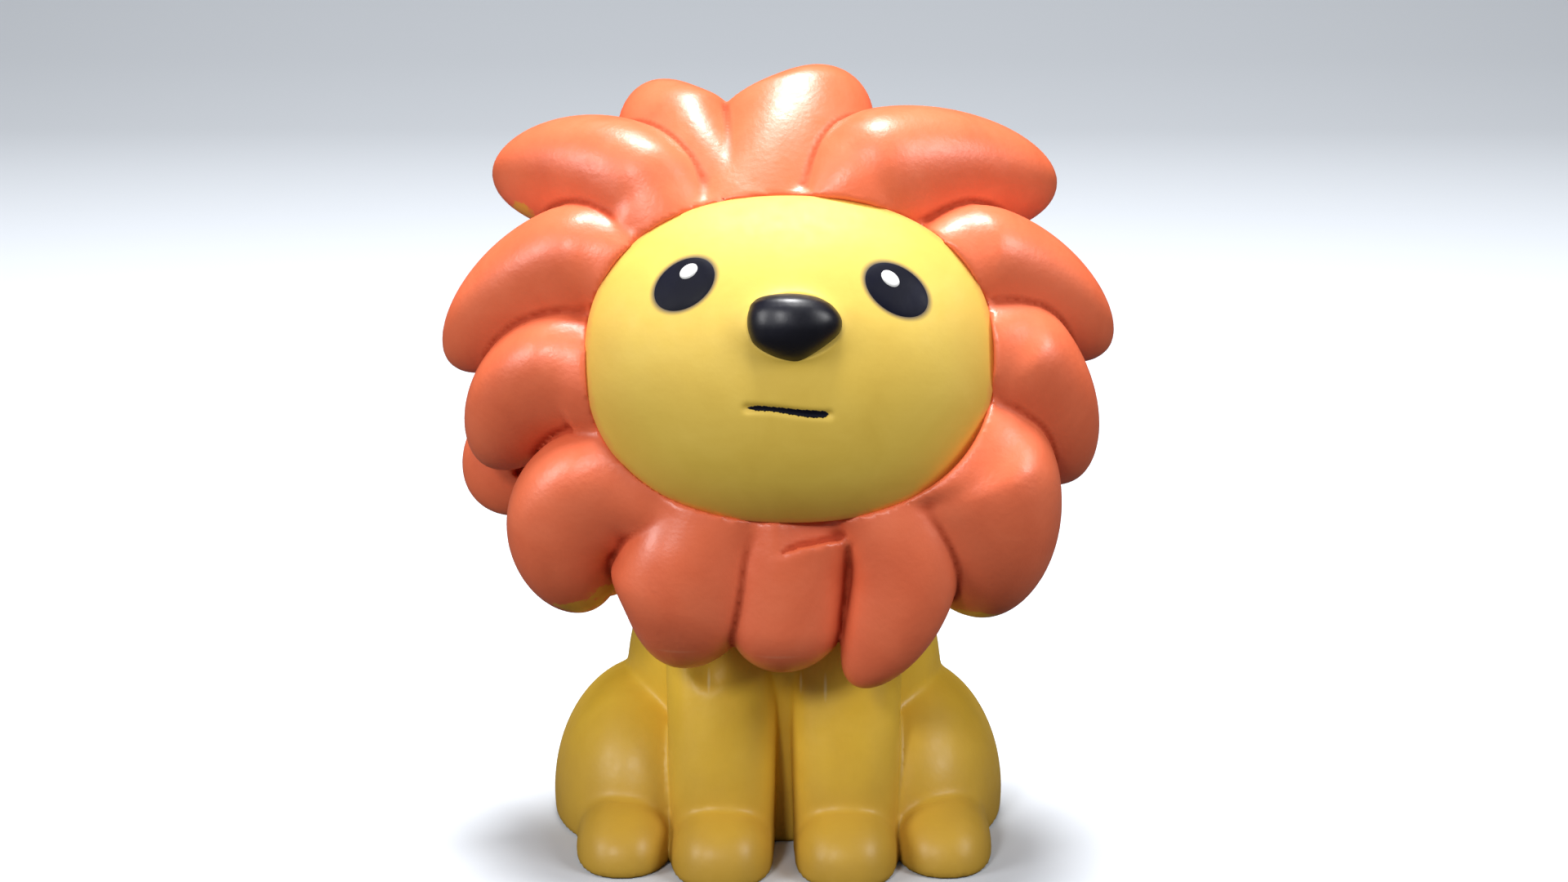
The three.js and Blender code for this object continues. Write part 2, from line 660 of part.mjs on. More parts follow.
const head = new THREE.Group();
head.applyMatrix4(headFrame);
head.add(piece("mane_skin", maneSkin(), orangePaint));
head.add(piece("face_skin", faceSkin(), faceRubber));
head.add(piece("eye_left", eye(eyeLeft, glintLeft), blackPaint));
head.add(piece("eye_right", eye(eyeRight, glintRight), blackPaint));
head.add(piece("eye_glint_left", patch(glintLeft), whitePaint));
head.add(piece("eye_glint_right", patch(glintRight), whitePaint));
head.add(piece("mouth_line", patch(mouthLine), blackPaint));
head.add(piece("nose", nose(), blackPaint));
toy.add(head);

export default toy;
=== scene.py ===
"""The rubber lion's looks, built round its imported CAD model. Shapes are worked out in the toy's own
millimetres, as smooth fields that are turned into meshes, and placed in the frame in metres."""

import math

import bpy
import numpy as np
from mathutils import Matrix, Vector


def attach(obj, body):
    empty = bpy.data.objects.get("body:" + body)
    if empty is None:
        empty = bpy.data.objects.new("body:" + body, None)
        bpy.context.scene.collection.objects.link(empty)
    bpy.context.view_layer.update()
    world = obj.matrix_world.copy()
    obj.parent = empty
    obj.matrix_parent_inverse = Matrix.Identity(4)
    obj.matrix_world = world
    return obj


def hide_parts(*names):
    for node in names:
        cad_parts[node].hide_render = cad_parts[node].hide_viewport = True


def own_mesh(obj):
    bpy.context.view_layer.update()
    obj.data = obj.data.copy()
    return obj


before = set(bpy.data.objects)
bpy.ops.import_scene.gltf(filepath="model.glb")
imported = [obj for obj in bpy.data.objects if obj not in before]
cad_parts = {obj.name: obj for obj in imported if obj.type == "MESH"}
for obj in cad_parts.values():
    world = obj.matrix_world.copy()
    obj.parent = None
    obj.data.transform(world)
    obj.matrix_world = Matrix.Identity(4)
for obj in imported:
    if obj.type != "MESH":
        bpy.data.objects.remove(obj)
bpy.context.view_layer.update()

MM = 0.001
MIDDLE = np.array([0.6, 2.4, 0.0])  # from the toy's own axes to the frame's, in mm
HEAD = np.array([0.0, -3.0, 50.0])
TILT = math.radians(14)
COS, SIN = math.cos(TILT), math.sin(TILT)
HEAD_AXES = np.array([[1, 0, 0], [0, COS, -SIN], [0, SIN, COS]])  # its own x, y and z, a row each
NECK = np.array([0.0, -1.0, 32.5])
NECK_RADIUS = 9.6
NECK_Z = 27.8  # the neck's skin begins here
NECK_TOP = 38  # and ends here, inside the head
NECK_GAP = 0.2  # between the neck's ball and the mane's socket

# mm between the points of each piece's field
MANE_STEP = 0.36
BODY_STEP = 0.4
NECK_STEP = 0.4
TUFT_STEP = 0.22

OUTSIDE = 40.0  # mm from any shape, where a field starts
TINY = 1e-6  # keeps a divisor from being zero


def from_head(points):
    return np.asarray(points, float) @ HEAD_AXES + HEAD


def into_head(point):
    return HEAD_AXES @ (np.asarray(point, float) - HEAD)


# Fields: negative inside, and about a distance in mm near the surface


def smooth_min(a, b, blend):
    share = np.clip(0.5 + 0.5 * (b - a) / blend, 0, 1)
    return b + (a - b) * share - blend * share * (1 - share)


def smooth_max(a, b, blend):
    return -smooth_min(-a, -b, blend)


class Field:
    def __init__(self, low, high, step):
        self.low = np.array(low, float)
        self.step = step
        counts = np.ceil((np.array(high, float) - self.low) / step).astype(int) + 1
        self.values = np.full(tuple(counts), OUTSIDE, np.float32)

    def window(self, low=None, high=None):
        """The part of the field between two corners, as slices and as the points in it."""
        first = np.zeros(3, int)
        last = np.array(self.values.shape)
        if low is not None:
            first = np.maximum(np.floor((np.array(low) - self.low) / self.step).astype(int), 0)
            past = np.ceil((np.array(high) - self.low) / self.step).astype(int) + 1
            last = np.minimum(past, last)
        axes = [self.low[n] + self.step * np.arange(first[n], last[n]) for n in range(3)]
        grid = np.stack(np.meshgrid(*axes, indexing="ij"), -1).astype(np.float32)
        return tuple(slice(a, b) for a, b in zip(first, last)), grid

    def add(self, shape, blend, low=None, high=None):
        """Adds a shape with a blend in mm, or with one that depends on the place."""
        cut, grid = self.window(low, high)
        width = blend(grid) if callable(blend) else blend
        self.values[cut] = smooth_min(self.values[cut], shape(grid), width)

    def take_away(self, shape, blend, low=None, high=None):
        """Cuts a shape out, with its edge rounded over a blend in mm."""
        cut, grid = self.window(low, high)
        self.values[cut] = smooth_max(self.values[cut], -shape(grid), blend)


def ellipsoid(centre, radii):
    centre, radii = np.array(centre, np.float32), np.array(radii, np.float32)

    def shape(points):
        scaled = (points - centre) / radii
        reach = np.sqrt((scaled**2).sum(-1)) + TINY
        slope = np.sqrt(((scaled / radii) ** 2).sum(-1)) + TINY
        return reach * (reach - 1) / slope

    return shape


def pebble(centre, radii, power):
    """An ellipsoid with fuller corners."""
    centre, radii = np.array(centre, np.float32), np.array(radii, np.float32)

    def shape(points):
        scaled = np.abs((points - centre) / radii)
        return ((scaled**power).sum(-1) ** (1 / power) - 1) * radii.min()

    return shape


def through(heights, places, values):
    """A smooth curve through the values at these places, for every height."""
    places, values = np.array(places, float), np.array(values, float)
    slopes = np.gradient(values, places)
    heights = np.clip(heights, places[0], places[-1])
    n = np.clip(np.searchsorted(places, heights, side="right") - 1, 0, len(places) - 2)
    span = places[n + 1] - places[n]
    t = (heights - places[n]) / span
    a, b = values[n], values[n + 1]
    ta, tb = slopes[n] * span, slopes[n + 1] * span
    from_a = a * (1 + 2 * t) * (1 - t) ** 2 + ta * t * (1 - t) ** 2
    return from_a + b * t**2 * (3 - 2 * t) - tb * t**2 * (1 - t)


def curves(table, heights):
    """Smooth curves through a table's columns, each against the first one."""
    first, *names = table
    return [through(heights, table[first], table[name]) for name in names]


def surface(field):
    """The field's zero level as vertices and quads: one vertex in every cell that it crosses."""
    values = field.values
    cells = tuple(n - 1 for n in values.shape)
    total = np.zeros(cells + (3,), np.float32)
    count = np.zeros(cells, np.float32)
    crossings = []
    for axis in range(3):
        u, v = (axis + 1) % 3, (axis + 2) % 3
        low = [slice(None)] * 3
        high = [slice(None)] * 3
        low[axis], high[axis] = slice(0, -1), slice(1, None)
        a, b = values[tuple(low)], values[tuple(high)]
        crossed = (a < 0) != (b < 0)
        where = np.where(crossed, a / np.where(crossed, a - b, 1), 0)
        crossings.append((crossed, a < 0))
        for du in (0, 1):
            for dv in (0, 1):
                part = [slice(None)] * 3
                part[u], part[v] = slice(du, du + cells[u]), slice(dv, dv + cells[v])
                hit = crossed[tuple(part)]
                count += hit
                total[..., axis] += where[tuple(part)]
                total[..., u] += du * hit
                total[..., v] += dv * hit
    used = count > 0
    number = np.full(cells, -1)
    number[used] = np.arange(used.sum())
    points = np.argwhere(used) + total[used] / count[used][:, None]
    quads = []
    for axis in range(3):
        u, v = (axis + 1) % 3, (axis + 2) % 3
        crossed, inside = crossings[axis]
        part = [slice(None)] * 3
        part[u], part[v] = slice(1, -1), slice(1, -1)
        spots = np.argwhere(crossed[tuple(part)])
        spots[:, u] += 1
        spots[:, v] += 1
        corners = []
        for du, dv in ((-1, -1), (0, -1), (0, 0), (-1, 0)):
            cell = spots.copy()
            cell[:, u] += du
            cell[:, v] += dv
            corners.append(number[tuple(cell.T)])
        faces = np.stack(corners, -1)
        turned = ~inside[tuple(spots.T)]
        faces[turned] = faces[turned][:, ::-1]
        quads.append(faces)
    points = settle(field, points)
    return points * field.step + field.low, np.concatenate(quads).tolist()


def read(grids, points):
    """The values of some grids at points in cells, from the eight corners round each."""
    at = np.clip(points, 0, np.array(grids[0].shape) - 1.001)
    base = at.astype(int)
    part = at - base
    total = np.zeros((len(points), len(grids)))
    for corner in np.ndindex(2, 2, 2):
        weight = np.prod(np.where(corner, part, 1 - part), -1)
        spot = tuple((base + corner).T)
        total += weight[:, None] * np.stack([grid[spot] for grid in grids], -1)
    return total


def settle(field, points):
    """Moves points, in cells, onto the field's zero level, in two rounds of at most half a cell."""
    slopes = np.gradient(field.values)
    for _ in range(2):
        found = read([field.values, *slopes], points)
        value, slope = found[:, :1], found[:, 1:]
        step = value * slope / np.maximum((slope**2).sum(-1, keepdims=True), TINY)
        points = points - np.clip(step, -0.5, 0.5)
    return points


def crease_depth(field, points):
    """0 on open surfaces, and up to 1 in a crease: there the field falls away on both sides."""
    cells = (points - field.low) / field.step
    aside = CREASE_ROOM / field.step * np.eye(3)
    around = -6 * read([field.values], cells)[:, 0]
    for axis in range(3):
        for side in (-1, 1):
            around += read([field.values], cells + side * aside[axis])[:, 0]
    return np.clip(-around / CREASE_ROOM, 0, 1)


def add_object(name, data):
    thing = bpy.data.objects.new(name, data)
    bpy.context.scene.collection.objects.link(thing)
    return thing


def mesh_object(name, points, faces, place=None):
    """A smooth mesh from points in the toy's millimetres, or in the head's with place=from_head."""
    points = np.asarray(points, float)
    if place is not None:
        points = place(points)
    mesh = bpy.data.meshes.new(name)
    mesh.from_pydata(((points + MIDDLE) * MM).tolist(), [], faces)
    mesh.validate()
    mesh.polygons.foreach_set("use_smooth", np.ones(len(mesh.polygons), bool))
    mesh.update()
    return add_object(name, mesh)


def keep_values(thing, name, values):
    """A value for each of a mesh's points, for its material to read."""
    thing.data.attributes.new(name, "FLOAT", "POINT").data.foreach_set("value", values)


# The face's place in the head and its outline, which the mane is fitted to as well. The head's x runs
# to the right of the picture, its y from the front to the back, and its z up.

FACE_X, FACE_Z = 0.5, -3.5
FACE_HALF_WIDTH, FACE_HALF_HEIGHT = 18.3, 14.6
FACE_POWER = 2.28  # the outline is an oval of this power, a little fuller than an ellipse
FACE_FRONT, FACE_RIM = -20.6, -14.2  # y of the dome's middle and of its rim
FACE_BACK = -11.9  # y of its flat back
FACE_CURVE = 1.096  # the dome is cut from an ellipsoid that is this many times as wide as it

# Mane

MANE_CENTRE = (0.4, -3.1)  # x and z that the front and second rows are laid round
MANE_BOX = ((-35, -17, -37), (35, 21, 27))
CORE, CORE_RADII = (0.2, 0.0, -1.5), (18.8, 14.5, 17.2)
CREASE_ROOM = 0.65  # mm from a point to the places that tell whether it lies in a crease

CURVE_SAMPLES = 100  # along a lock's curve, to measure it
SPINE_STEP = 1.2  # mm between the samples along a lock's spine
SPINE_BEFORE, SPINE_AFTER = 8.0, 5.0  # mm that the spine goes on straight past its ends
SOFT = 1.6  # mm over which its nearest part is picked
AT_ONCE = 100000  # points that are worked out together
LEAN_SHARE = 0.6  # a lock has its full lean this far along its body
ROOT_THICK = 2.8  # half thickness of a lock of the front row under the face
UNDER_FACE = 4.0  # a lock begins to swell this far behind its start, in mm
ROOT_RUN = 4.5  # a lock keeps its width for this far behind its start, in mm
ROOT_CAP = 4.0  # and is rounded off over this length behind that
HIDDEN_ROOT = 1.05  # the side of a lock under its neighbour is this full at its root
FULLNESS = 2.15  # a lock's section is an oval of this power
FRONT_FLATNESS = 0.82  # a front lock's thickness over its width
LOCK_SLOPE = 0.85  # brings a lock's reach nearer to a distance

# root angle, tip angle, reach, bow, bend, half width, lean, root depth, tip depth, inset, tip length,
# taper: angles in degrees from the right of the picture, counter-clockwise, and lengths in mm, but for
# the bend, a share of the lock's length, the tip length, in half widths, and the taper, the root's
# width over the full one
FRONT_LOCKS = [
    (95, 91, 24.6, -2.8, 0.75, 7.4, 0, -10.2, -1.0, 1.2, 0.7, 0.9),
    (107.5, 112, 27.5, 4.9, 0.75, 5.5, -23, -10.4, -1.5, 1.0, 1.3, 0.4),
    (132, 148.5, 32.2, -4.3, 0.25, 6.1, -28, -10.6, -1.5, -0.2, 1.95, 0.6),
    (151, 181, 31.4, -3.5, 0.25, 6.0, -28, -10.7, -2.0, 0.3, 2.3, 0.35),
    (184, 200, 29.4, -4.4, 0.25, 5.8, -28, -10.8, -2.5, 0.4, 1.7, 0.6),
    (220.5, 232.5, 29.2, -10.5, 0.4, 6.1, -28, -10.9, -4.0, 0.65, 1.3, 0.65),
    (238.5, 243, 29.4, 3.5, 0.75, 6.9, -21, -11.0, -6.8, 0.7, 1.2, 0.45),
    (275, 269.5, 28.8, -1.0, 0.5, 5.4, -14, -11.4, -7.3, 1.3, 0.95, 0.92),
    (292, 279, 24.5, 2.0, 0.5, 4.5, 0, -8.0, -6.5, 1.3, 1.2, 0.9),
    (302.5, 281, 30.6, 6.6, 0.25, 4.9, 0, -11.4, -8.4, 0.45, 2.25, 0.85),
    (331.5, 306, 29.4, 2.3, 0.25, 8.0, 26, -11.1, -4.2, 0.4, 1.4, 0.55),
    (3, 336.5, 28.5, 1.6, 0.25, 6.6, 28, -10.9, -2.5, 0.65, 1.8, 0.35),
    (29, 1.5, 29.6, 2.4, 0.25, 6.0, 28, -10.7, -2.0, 0.9, 2.3, 0.45),
    (70.5, 32.5, 29.6, 2.5, 0.25, 6.8, 25, -10.5, -1.5, -0.5, 2.3, 0.35),
]
FOLDED = 7  # the lock with this number has a fold, and the later ones lie over it
FOLD_BOX = ((-1, -18, -23), (9, -11, -16))
PIT, PIT_RADII = (-24.9, -0.3, -13.9), (0.8, 1.6, 0.6)  # a small pocket between locks of the lower left

# The second row, behind the front one: root angle, tip angle, reach, bow
SECOND_ROOT_REACH, SECOND_ROOT_Y, SECOND_TIP_Y = 14, 0.5, 4.5
SECOND_LOCKS = [
    (60, 60, 24.5, 1),
    (100, 100, 25.0, -1),
    (134, 134, 27.0, -2),
    (164, 166, 27.5, -4),
    (190, 207, 32.1, -5),
    (217, 231, 29.5, -4),
    (318, 308, 26.0, 3),
    (346, 332, 26.0, 4),
    (14, 8, 26.5, 4),
]
# The rows over the back of the head: angles, root reach, reach, bow, root depth, tip depth
BACK_ROWS = [
    ([-20, 20, 64, 110, 156, 200], 9, 22.0, 4, 4.5, 8.5),
    ([-42, 0, 45, 90, 135, 180, 222], 4, 15.5, 3, 8.0, 12.5),
    ([240, 270, 300], 3, 12.0, 0, 10.5, 16.5),
    ([20, 160, 270], 0, 8.0, 2, 11.0, 15.5),
]
SMALL_LOCK = {"half": 5.8, "thick": 3.7, "cap": 1.2, "taper": 0.9}  # of the second row and the back

# The disc that the locks grow from, front to back: y, and how far it stands out past the face's rim
COLLAR = ([-12.3, -11.2, -9.4, -6.8, -3.5, 0.0], [0.0, 1.1, 2.7, 4.6, 4.0, -1.0])
FACE_ROOM_INSET, FACE_ROOM_BACK = 0.1, -11.8  # its room in the mane: this far inside its rim, to this y
OUTER_BLEND, RIM_BLEND, RIM_RUN = 0.18, 0.5, 2.5  # mm, and the mm over which the second one fades


def polar(angle, reach, y, centre):
    """A point of the head at an angle and a reach round a centre, seen from the front."""
    a = math.radians(angle)
    return np.array([centre[0] + reach * math.cos(a), y, centre[1] + reach * math.sin(a)])


def face_reach(x, z):
    """How far a point is from the face's middle, seen from the front: 1 on its rim."""
    u, v = np.abs(x / FACE_HALF_WIDTH), np.abs(z / FACE_HALF_HEIGHT)
    return (u**FACE_POWER + v**FACE_POWER) ** (1 / FACE_POWER)


def rim_reach(angle):
    """The distance from the face's middle to its rim in a direction."""
    a = math.radians(angle)
    return 1 / face_reach(math.cos(a), math.sin(a))


class Lock:
    """A fat leaf along a bent spine, from a flat root under the face's rim to a rounded tip."""

    def __init__(self, start, end, bow, half, thick, cap, taper, lean=0.0, bend=0.5, root_thick=None):
        chord = end - start
        size = np.linalg.norm(chord)
        left = np.array([-chord[2], 0, chord[0]]) / np.hypot(chord[0], chord[2])
        knee = start + chord * bend + left * bow
        t = np.linspace(0, 1, CURVE_SAMPLES)[:, None]
        line = (1 - t) ** 2 * start + 2 * t * (1 - t) * knee + t**2 * end
        lengths = np.concatenate([[0], np.cumsum(np.linalg.norm(np.diff(line, axis=0), axis=1))])
        self.length = lengths[-1]
        self.body = float(np.interp(1 - cap * half / size, t[:, 0], lengths))
        self.half, self.thick, self.taper = half, thick, taper
        self.root_thick = root_thick or thick
        self.lean = math.radians(lean)
        self.places = np.arange(-SPINE_BEFORE, self.length + SPINE_AFTER, SPINE_STEP)
        spine = np.stack([np.interp(self.places, lengths, line[:, n]) for n in range(3)], -1)
        before, after = np.minimum(self.places, 0), np.maximum(self.places - self.length, 0)
        spine += before[:, None] * (knee - start) / np.linalg.norm(knee - start)
        self.spine = spine + after[:, None] * (end - knee) / np.linalg.norm(end - knee)
        self.runs = np.gradient(self.spine, axis=0) / SPINE_STEP

    def box(self, room):
        """Two corners with the lock and some room between them."""
        inside = (self.places > -ROOT_RUN - ROOT_CAP) & (self.places < self.length)
        wide = max(self.half * HIDDEN_ROOT, self.thick) + room
        return self.spine[inside].min(0) - wide, self.spine[inside].max(0) + wide

    def coordinates(self, points):
        """Place along the spine, and across and out from it, by its softly picked nearest part."""
        parts = []
        flat = points.reshape(-1, 3)
        for some in np.array_split(flat, len(flat) // AT_ONCE + 1):
            gap = (self.spine**2).sum(-1) - 2 * some @ self.spine.T
            share = np.exp((gap.min(-1, keepdims=True) - gap) / (2 * SOFT**2))
            share /= share.sum(-1, keepdims=True)
            run = share @ self.runs
            run /= np.linalg.norm(run, axis=-1, keepdims=True)
            offset = some - share @ self.spine
            across = np.stack([run[:, 2], np.zeros(len(run)), -run[:, 0]], -1)
            across /= np.linalg.norm(across, axis=-1, keepdims=True)
            out = np.cross(run, across)
            along = share @ self.places + (offset * run).sum(-1)
            parts.append(np.stack([along, (offset * across).sum(-1), (offset * out).sum(-1)]))
        return np.concatenate(parts, -1).reshape((3,) + points.shape[:-1])

    def __call__(self, points):
        along, across, out = self.coordinates(points)
        grown = np.sin(np.clip((along + UNDER_FACE) / (self.body + UNDER_FACE), 0, 1) * math.pi / 2)
        leaning = np.clip(along / max(LEAN_SHARE * self.body, TINY), 0, 1)
        lean = self.lean * np.sin(leaning * math.pi / 2) ** 2
        wide = across * np.cos(lean) + out * np.sin(lean)
        deep = out * np.cos(lean) - across * np.sin(lean)
        hidden = wide * np.sign(self.lean) > 0
        at_root = np.where(hidden, max(self.taper, HIDDEN_ROOT), self.taper)
        half = self.half * (at_root + (1 - at_root) * grown)
        thick = self.root_thick + (self.thick - self.root_thick) * grown
        tip = np.maximum(along - self.body, 0) / (self.length - self.body)
        root = np.maximum(-along - ROOT_RUN, 0) / ROOT_CAP
        section = np.abs(wide / half) ** FULLNESS + np.abs(deep / thick) ** FULLNESS
        reach = np.sqrt(section ** (2 / FULLNESS) + (tip + root) ** 2)
        return (reach - 1) * thick * LOCK_SLOPE


def all_locks():
    """The front row, then the second row, then the rows of the back, each over the one before."""
    centre = MANE_CENTRE
    locks = []
    for row in FRONT_LOCKS:
        root, tip, reach, bow, bend, half, lean, root_y, tip_y, inset, cap, taper = row
        start = polar(root, rim_reach(root) - inset, root_y, centre)
        end = polar(tip, reach, tip_y, centre)
        thick = half * FRONT_FLATNESS
        locks.append(Lock(start, end, bow, half, thick, cap, taper, lean, bend, ROOT_THICK))
    for root, tip, reach, bow in SECOND_LOCKS:
        start = polar(root, SECOND_ROOT_REACH, SECOND_ROOT_Y, centre)
        end = polar(tip, reach, SECOND_TIP_Y, centre)
        locks.append(Lock(start, end, bow, **SMALL_LOCK))
    centre = (CORE[0], CORE[2])
    for angles, root_reach, reach, bow, root_y, tip_y in BACK_ROWS:
        for angle in angles:
            side = 1 if math.cos(math.radians(angle)) > 0 else -1
            start = polar(angle, root_reach, root_y, centre)
            end = polar(angle, reach, tip_y, centre)
            locks.append(Lock(start, end, side * bow, **SMALL_LOCK))
    return locks


def past_rim(points):
    """How far a point is outside the face's rim, in mm, seen from the front."""
    x, z = points[..., 0] - FACE_X, points[..., 2] - FACE_Z
    reach = face_reach(x, z) + TINY
    u, v = np.abs(x / FACE_HALF_WIDTH), np.abs(z / FACE_HALF_HEIGHT)
    steep = FACE_POWER - 1
    slope = np.hypot(u**steep / FACE_HALF_WIDTH, v**steep / FACE_HALF_HEIGHT) + TINY
    return reach**steep * (reach - 1) / slope


def face_room(points):
    """The room that the face fills, a little inside its rim."""
    return np.maximum(past_rim(points) + FACE_ROOM_INSET, points[..., 1] - FACE_ROOM_BACK)


def collar(points):
    """The disc that the locks grow from, rounded by 1 mm at its front and its back."""
    y = points[..., 1]
    outside = past_rim(points) - through(y, *COLLAR)
    return smooth_max(smooth_max(outside, COLLAR[0][0] - y, 1.0), y - COLLAR[0][-1], 1.0)


def lock_blend(points):
    """Locks run into one another near the rim, and part from there outwards."""
    return OUTER_BLEND + RIM_BLEND * np.exp(-((np.maximum(past_rim(points), 0) / RIM_RUN) ** 2))


def fold(points):
    """The room above a fold in the middle lock under the face, where its front is set back."""
    x, y, z = points[..., 0], points[..., 1], points[..., 2]
    line = through(x, [-1, 1, 3, 6], [-21.3, -20.5, -20.05, -19.6])
    back = through(x, [-1, 1.5, 6], [-14.4, -13.5, -12.3])
    return smooth_max(line - z, y - back, 0.2)


def mane():
    field = Field(*MANE_BOX, MANE_STEP)
    field.add(ellipsoid(CORE, CORE_RADII), blend=0.3)
    for number, lock in enumerate(all_locks()):
        field.add(lock, lock_blend, *lock.box(room=2.5))
        if number == FOLDED:
            field.take_away(fold, 0.3, *FOLD_BOX)
    field.add(collar, lock_blend)
    field.take_away(face_room, blend=0.12)
    field.take_away(ellipsoid(PIT, PIT_RADII), blend=0.2)
    socket = ellipsoid(into_head(NECK), (NECK_RADIUS + NECK_GAP,) * 3)
    field.take_away(socket, blend=0.3)
    points, quads = surface(field)
    thing = mesh_object("mane", points, quads, from_head)
    keep_values(thing, "crease", crease_depth(field, points))
    return thing


# Face

# Half width, half height and half depth of the ellipsoid that the dome is cut from
FACE_A = FACE_HALF_WIDTH * FACE_CURVE
FACE_B = FACE_HALF_HEIGHT * FACE_CURVE
FACE_DEPTH = (FACE_RIM - FACE_FRONT) / (1 - math.sqrt(1 - 1 / FACE_CURVE**2))
FACE_COUNT = 360  # points across the face

# x and z of the painted pieces are from the face's middle
EYES = [
    {"side": "left", "x": -9.23, "z": 6.49, "half_width": 3.05, "half_height": 2.1, "turn": 35},
    {"side": "right", "x": 9.37, "z": 5.99, "half_width": 3.2, "half_height": 2.08, "turn": -35},
]
GLINTS = [
    {"side": "left", "x": -8.85, "z": 7.6, "half_width": 0.95, "half_height": 0.62, "turn": 35},
    {"side": "right", "x": 8.8, "z": 6.95, "half_width": 1.0, "half_height": 0.64, "turn": -40},
]
EYE_HEIGHT, GLINT_HEIGHT = 0.1, 0.24  # mm that the paint stands out
PATCH_COUNT = 40  # points across a painted spot
PATCH_DIP, PATCH_SUNK = 0.02, 0.25  # mm that its edge and its back lie in the face

MOUTH_X, MOUTH_Z, MOUTH_HALF = -0.15, -4.67, 3.55
MOUTH_SLOPE = -math.tan(math.radians(4.5))
MOUTH_WAVE, MOUTH_WAVES = 0.07, 0.9  # mm, and radians a mm
GROOVE_DEPTH, GROOVE_WIDTH = 0.28, 0.36
MOUTH_HEIGHT, MOUTH_ROUND = 0.07, 0.04  # mm that its paint stands out, and less by this at its edges
MOUTH_SUNK = 0.2  # mm that its back lies in the face
MOUTH_COUNTS = (160, 11)  # points along and across the stroke
STROKE = {
    "place": [-1, -0.9, -0.4, 0.2, 0.8, 0.94, 1],
    "half_width": [0.03, 0.14, 0.2, 0.27, 0.29, 0.22, 0.03],
}

NOSE_X, NOSE_Z = 0.3, 2.7
NOSE_FOOT = (4.2, 3.0)  # half width and half height of the oval that the face rises round
FILLET_HEIGHT, FILLET_FALL = 0.3, 6
NOSE = {
    "z": [-3.0, -2.75, -2.3, -1.65, -0.7, 0.2, 1.3, 1.95, 2.45, 2.72],
    "half_width": [0.5, 1.2, 2.1, 3.05, 3.85, 4.1, 3.8, 3.3, 2.3, 0.9],
    "shift": [0.1, -0.1, -0.25, -0.25, 0.05, 0.12, -0.05, -0.25, -0.4, -0.4],
    "depth": [0.35, 0.85, 1.5, 2.2, 2.75, 2.9, 2.75, 2.35, 1.6, 0.7],
}
NOSE_ROWS, NOSE_SIDES = 72, 96
NOSE_SUNK = 0.9  # mm that its back lies in the face


def dome(x, z, lift):
    """The face's surface at x and z from its middle, lifted along its normal, in the head's mm. Its
    middle is an ellipsoid's, and towards the rim its depth follows the fuller outline."""
    ellipse = (x / FACE_HALF_WIDTH) ** 2 + (z / FACE_HALF_HEIGHT) ** 2
    square = ellipse + (face_reach(x, z) ** 2 - ellipse) * np.clip(ellipse, 0, 1)
    root = np.sqrt(np.clip(1 - square / FACE_CURVE**2, 0.05, 1))
    y = FACE_FRONT + FACE_DEPTH * (1 - root)
    across = FACE_DEPTH * x / FACE_A**2 / root
    up = FACE_DEPTH * z / FACE_B**2 / root
    normal = np.stack([across, -np.ones_like(x), up], -1)
    normal /= np.linalg.norm(normal, axis=-1)[..., None]
    place = np.stack([FACE_X + x, y, FACE_Z + z], -1)
    return place + normal * np.asarray(lift)[..., None]


def mouth_height(x):
    """The mouth is a line with a slight S."""
    wave = MOUTH_WAVE * np.sin((x - MOUTH_X) * MOUTH_WAVES)
    return MOUTH_Z + MOUTH_SLOPE * (x - MOUTH_X) - wave


def from_mouth(x, z):
    past = np.maximum(np.abs(x - MOUTH_X) - MOUTH_HALF, 0)
    return np.hypot(past, z - mouth_height(x))


def face_relief(x, z):
    """How far the face stands out from its dome: down in the mouth's groove, and up round the nose."""
    groove = -GROOVE_DEPTH * np.exp(-((from_mouth(x, z) / GROOVE_WIDTH) ** 2))
    from_nose = np.hypot((x - NOSE_X) / NOSE_FOOT[0], (z - NOSE_Z) / NOSE_FOOT[1])
    fillet = FILLET_HEIGHT * np.exp(-np.maximum(from_nose - 1, 0) * FILLET_FALL)
    return groove + fillet


def grid_faces(*counts):
    """The quads of a grid of points, and the points round its edge."""
    number = np.arange(counts[0] * counts[1]).reshape(counts)
    quads = np.stack([number[:-1, :-1], number[1:, :-1], number[1:, 1:], number[:-1, 1:]], -1)
    edge = np.concatenate([number[:-1, 0], number[-1, :-1], number[:0:-1, -1], number[0, :0:-1]])
    return quads.reshape(-1, 4), edge


def square_to_disc(count):
    """A square grid of points pressed into a disc of radius 1, as x and z."""
    line = np.linspace(-1, 1, count)
    u, v = np.meshgrid(line, line, indexing="ij")
    x, z = u * np.sqrt(1 - v**2 / 2), v * np.sqrt(1 - u**2 / 2)
    return x.ravel(), z.ravel()


def plate(name, front, back, quads, edge):
    """A closed plate from a front and a back sheet of points with the same edge."""
    count = len(front)
    faces = quads.tolist()
    faces += [[a + count for a in reversed(quad)] for quad in faces]
    for a, b in zip(edge, np.roll(edge, -1)):
        faces.append([int(a), int(a) + count, int(b) + count, int(b)])
    return mesh_object(name, np.concatenate([front, back]), faces, from_head)


def face():
    x, z = square_to_disc(FACE_COUNT)
    reach = np.hypot(x, z)
    x, z = x * FACE_HALF_WIDTH, z * FACE_HALF_HEIGHT
    fuller = reach / np.maximum(face_reach(x, z), TINY)
    x, z = x * fuller, z * fuller
    front = dome(x, z, face_relief(x, z))
    back = np.stack([FACE_X + x, np.full_like(x, FACE_BACK), FACE_Z + z], -1)
    thing = plate("face", front, back, *grid_faces(FACE_COUNT, FACE_COUNT))
    keep_values(thing, "reach", np.concatenate([reach, reach]))
    return thing


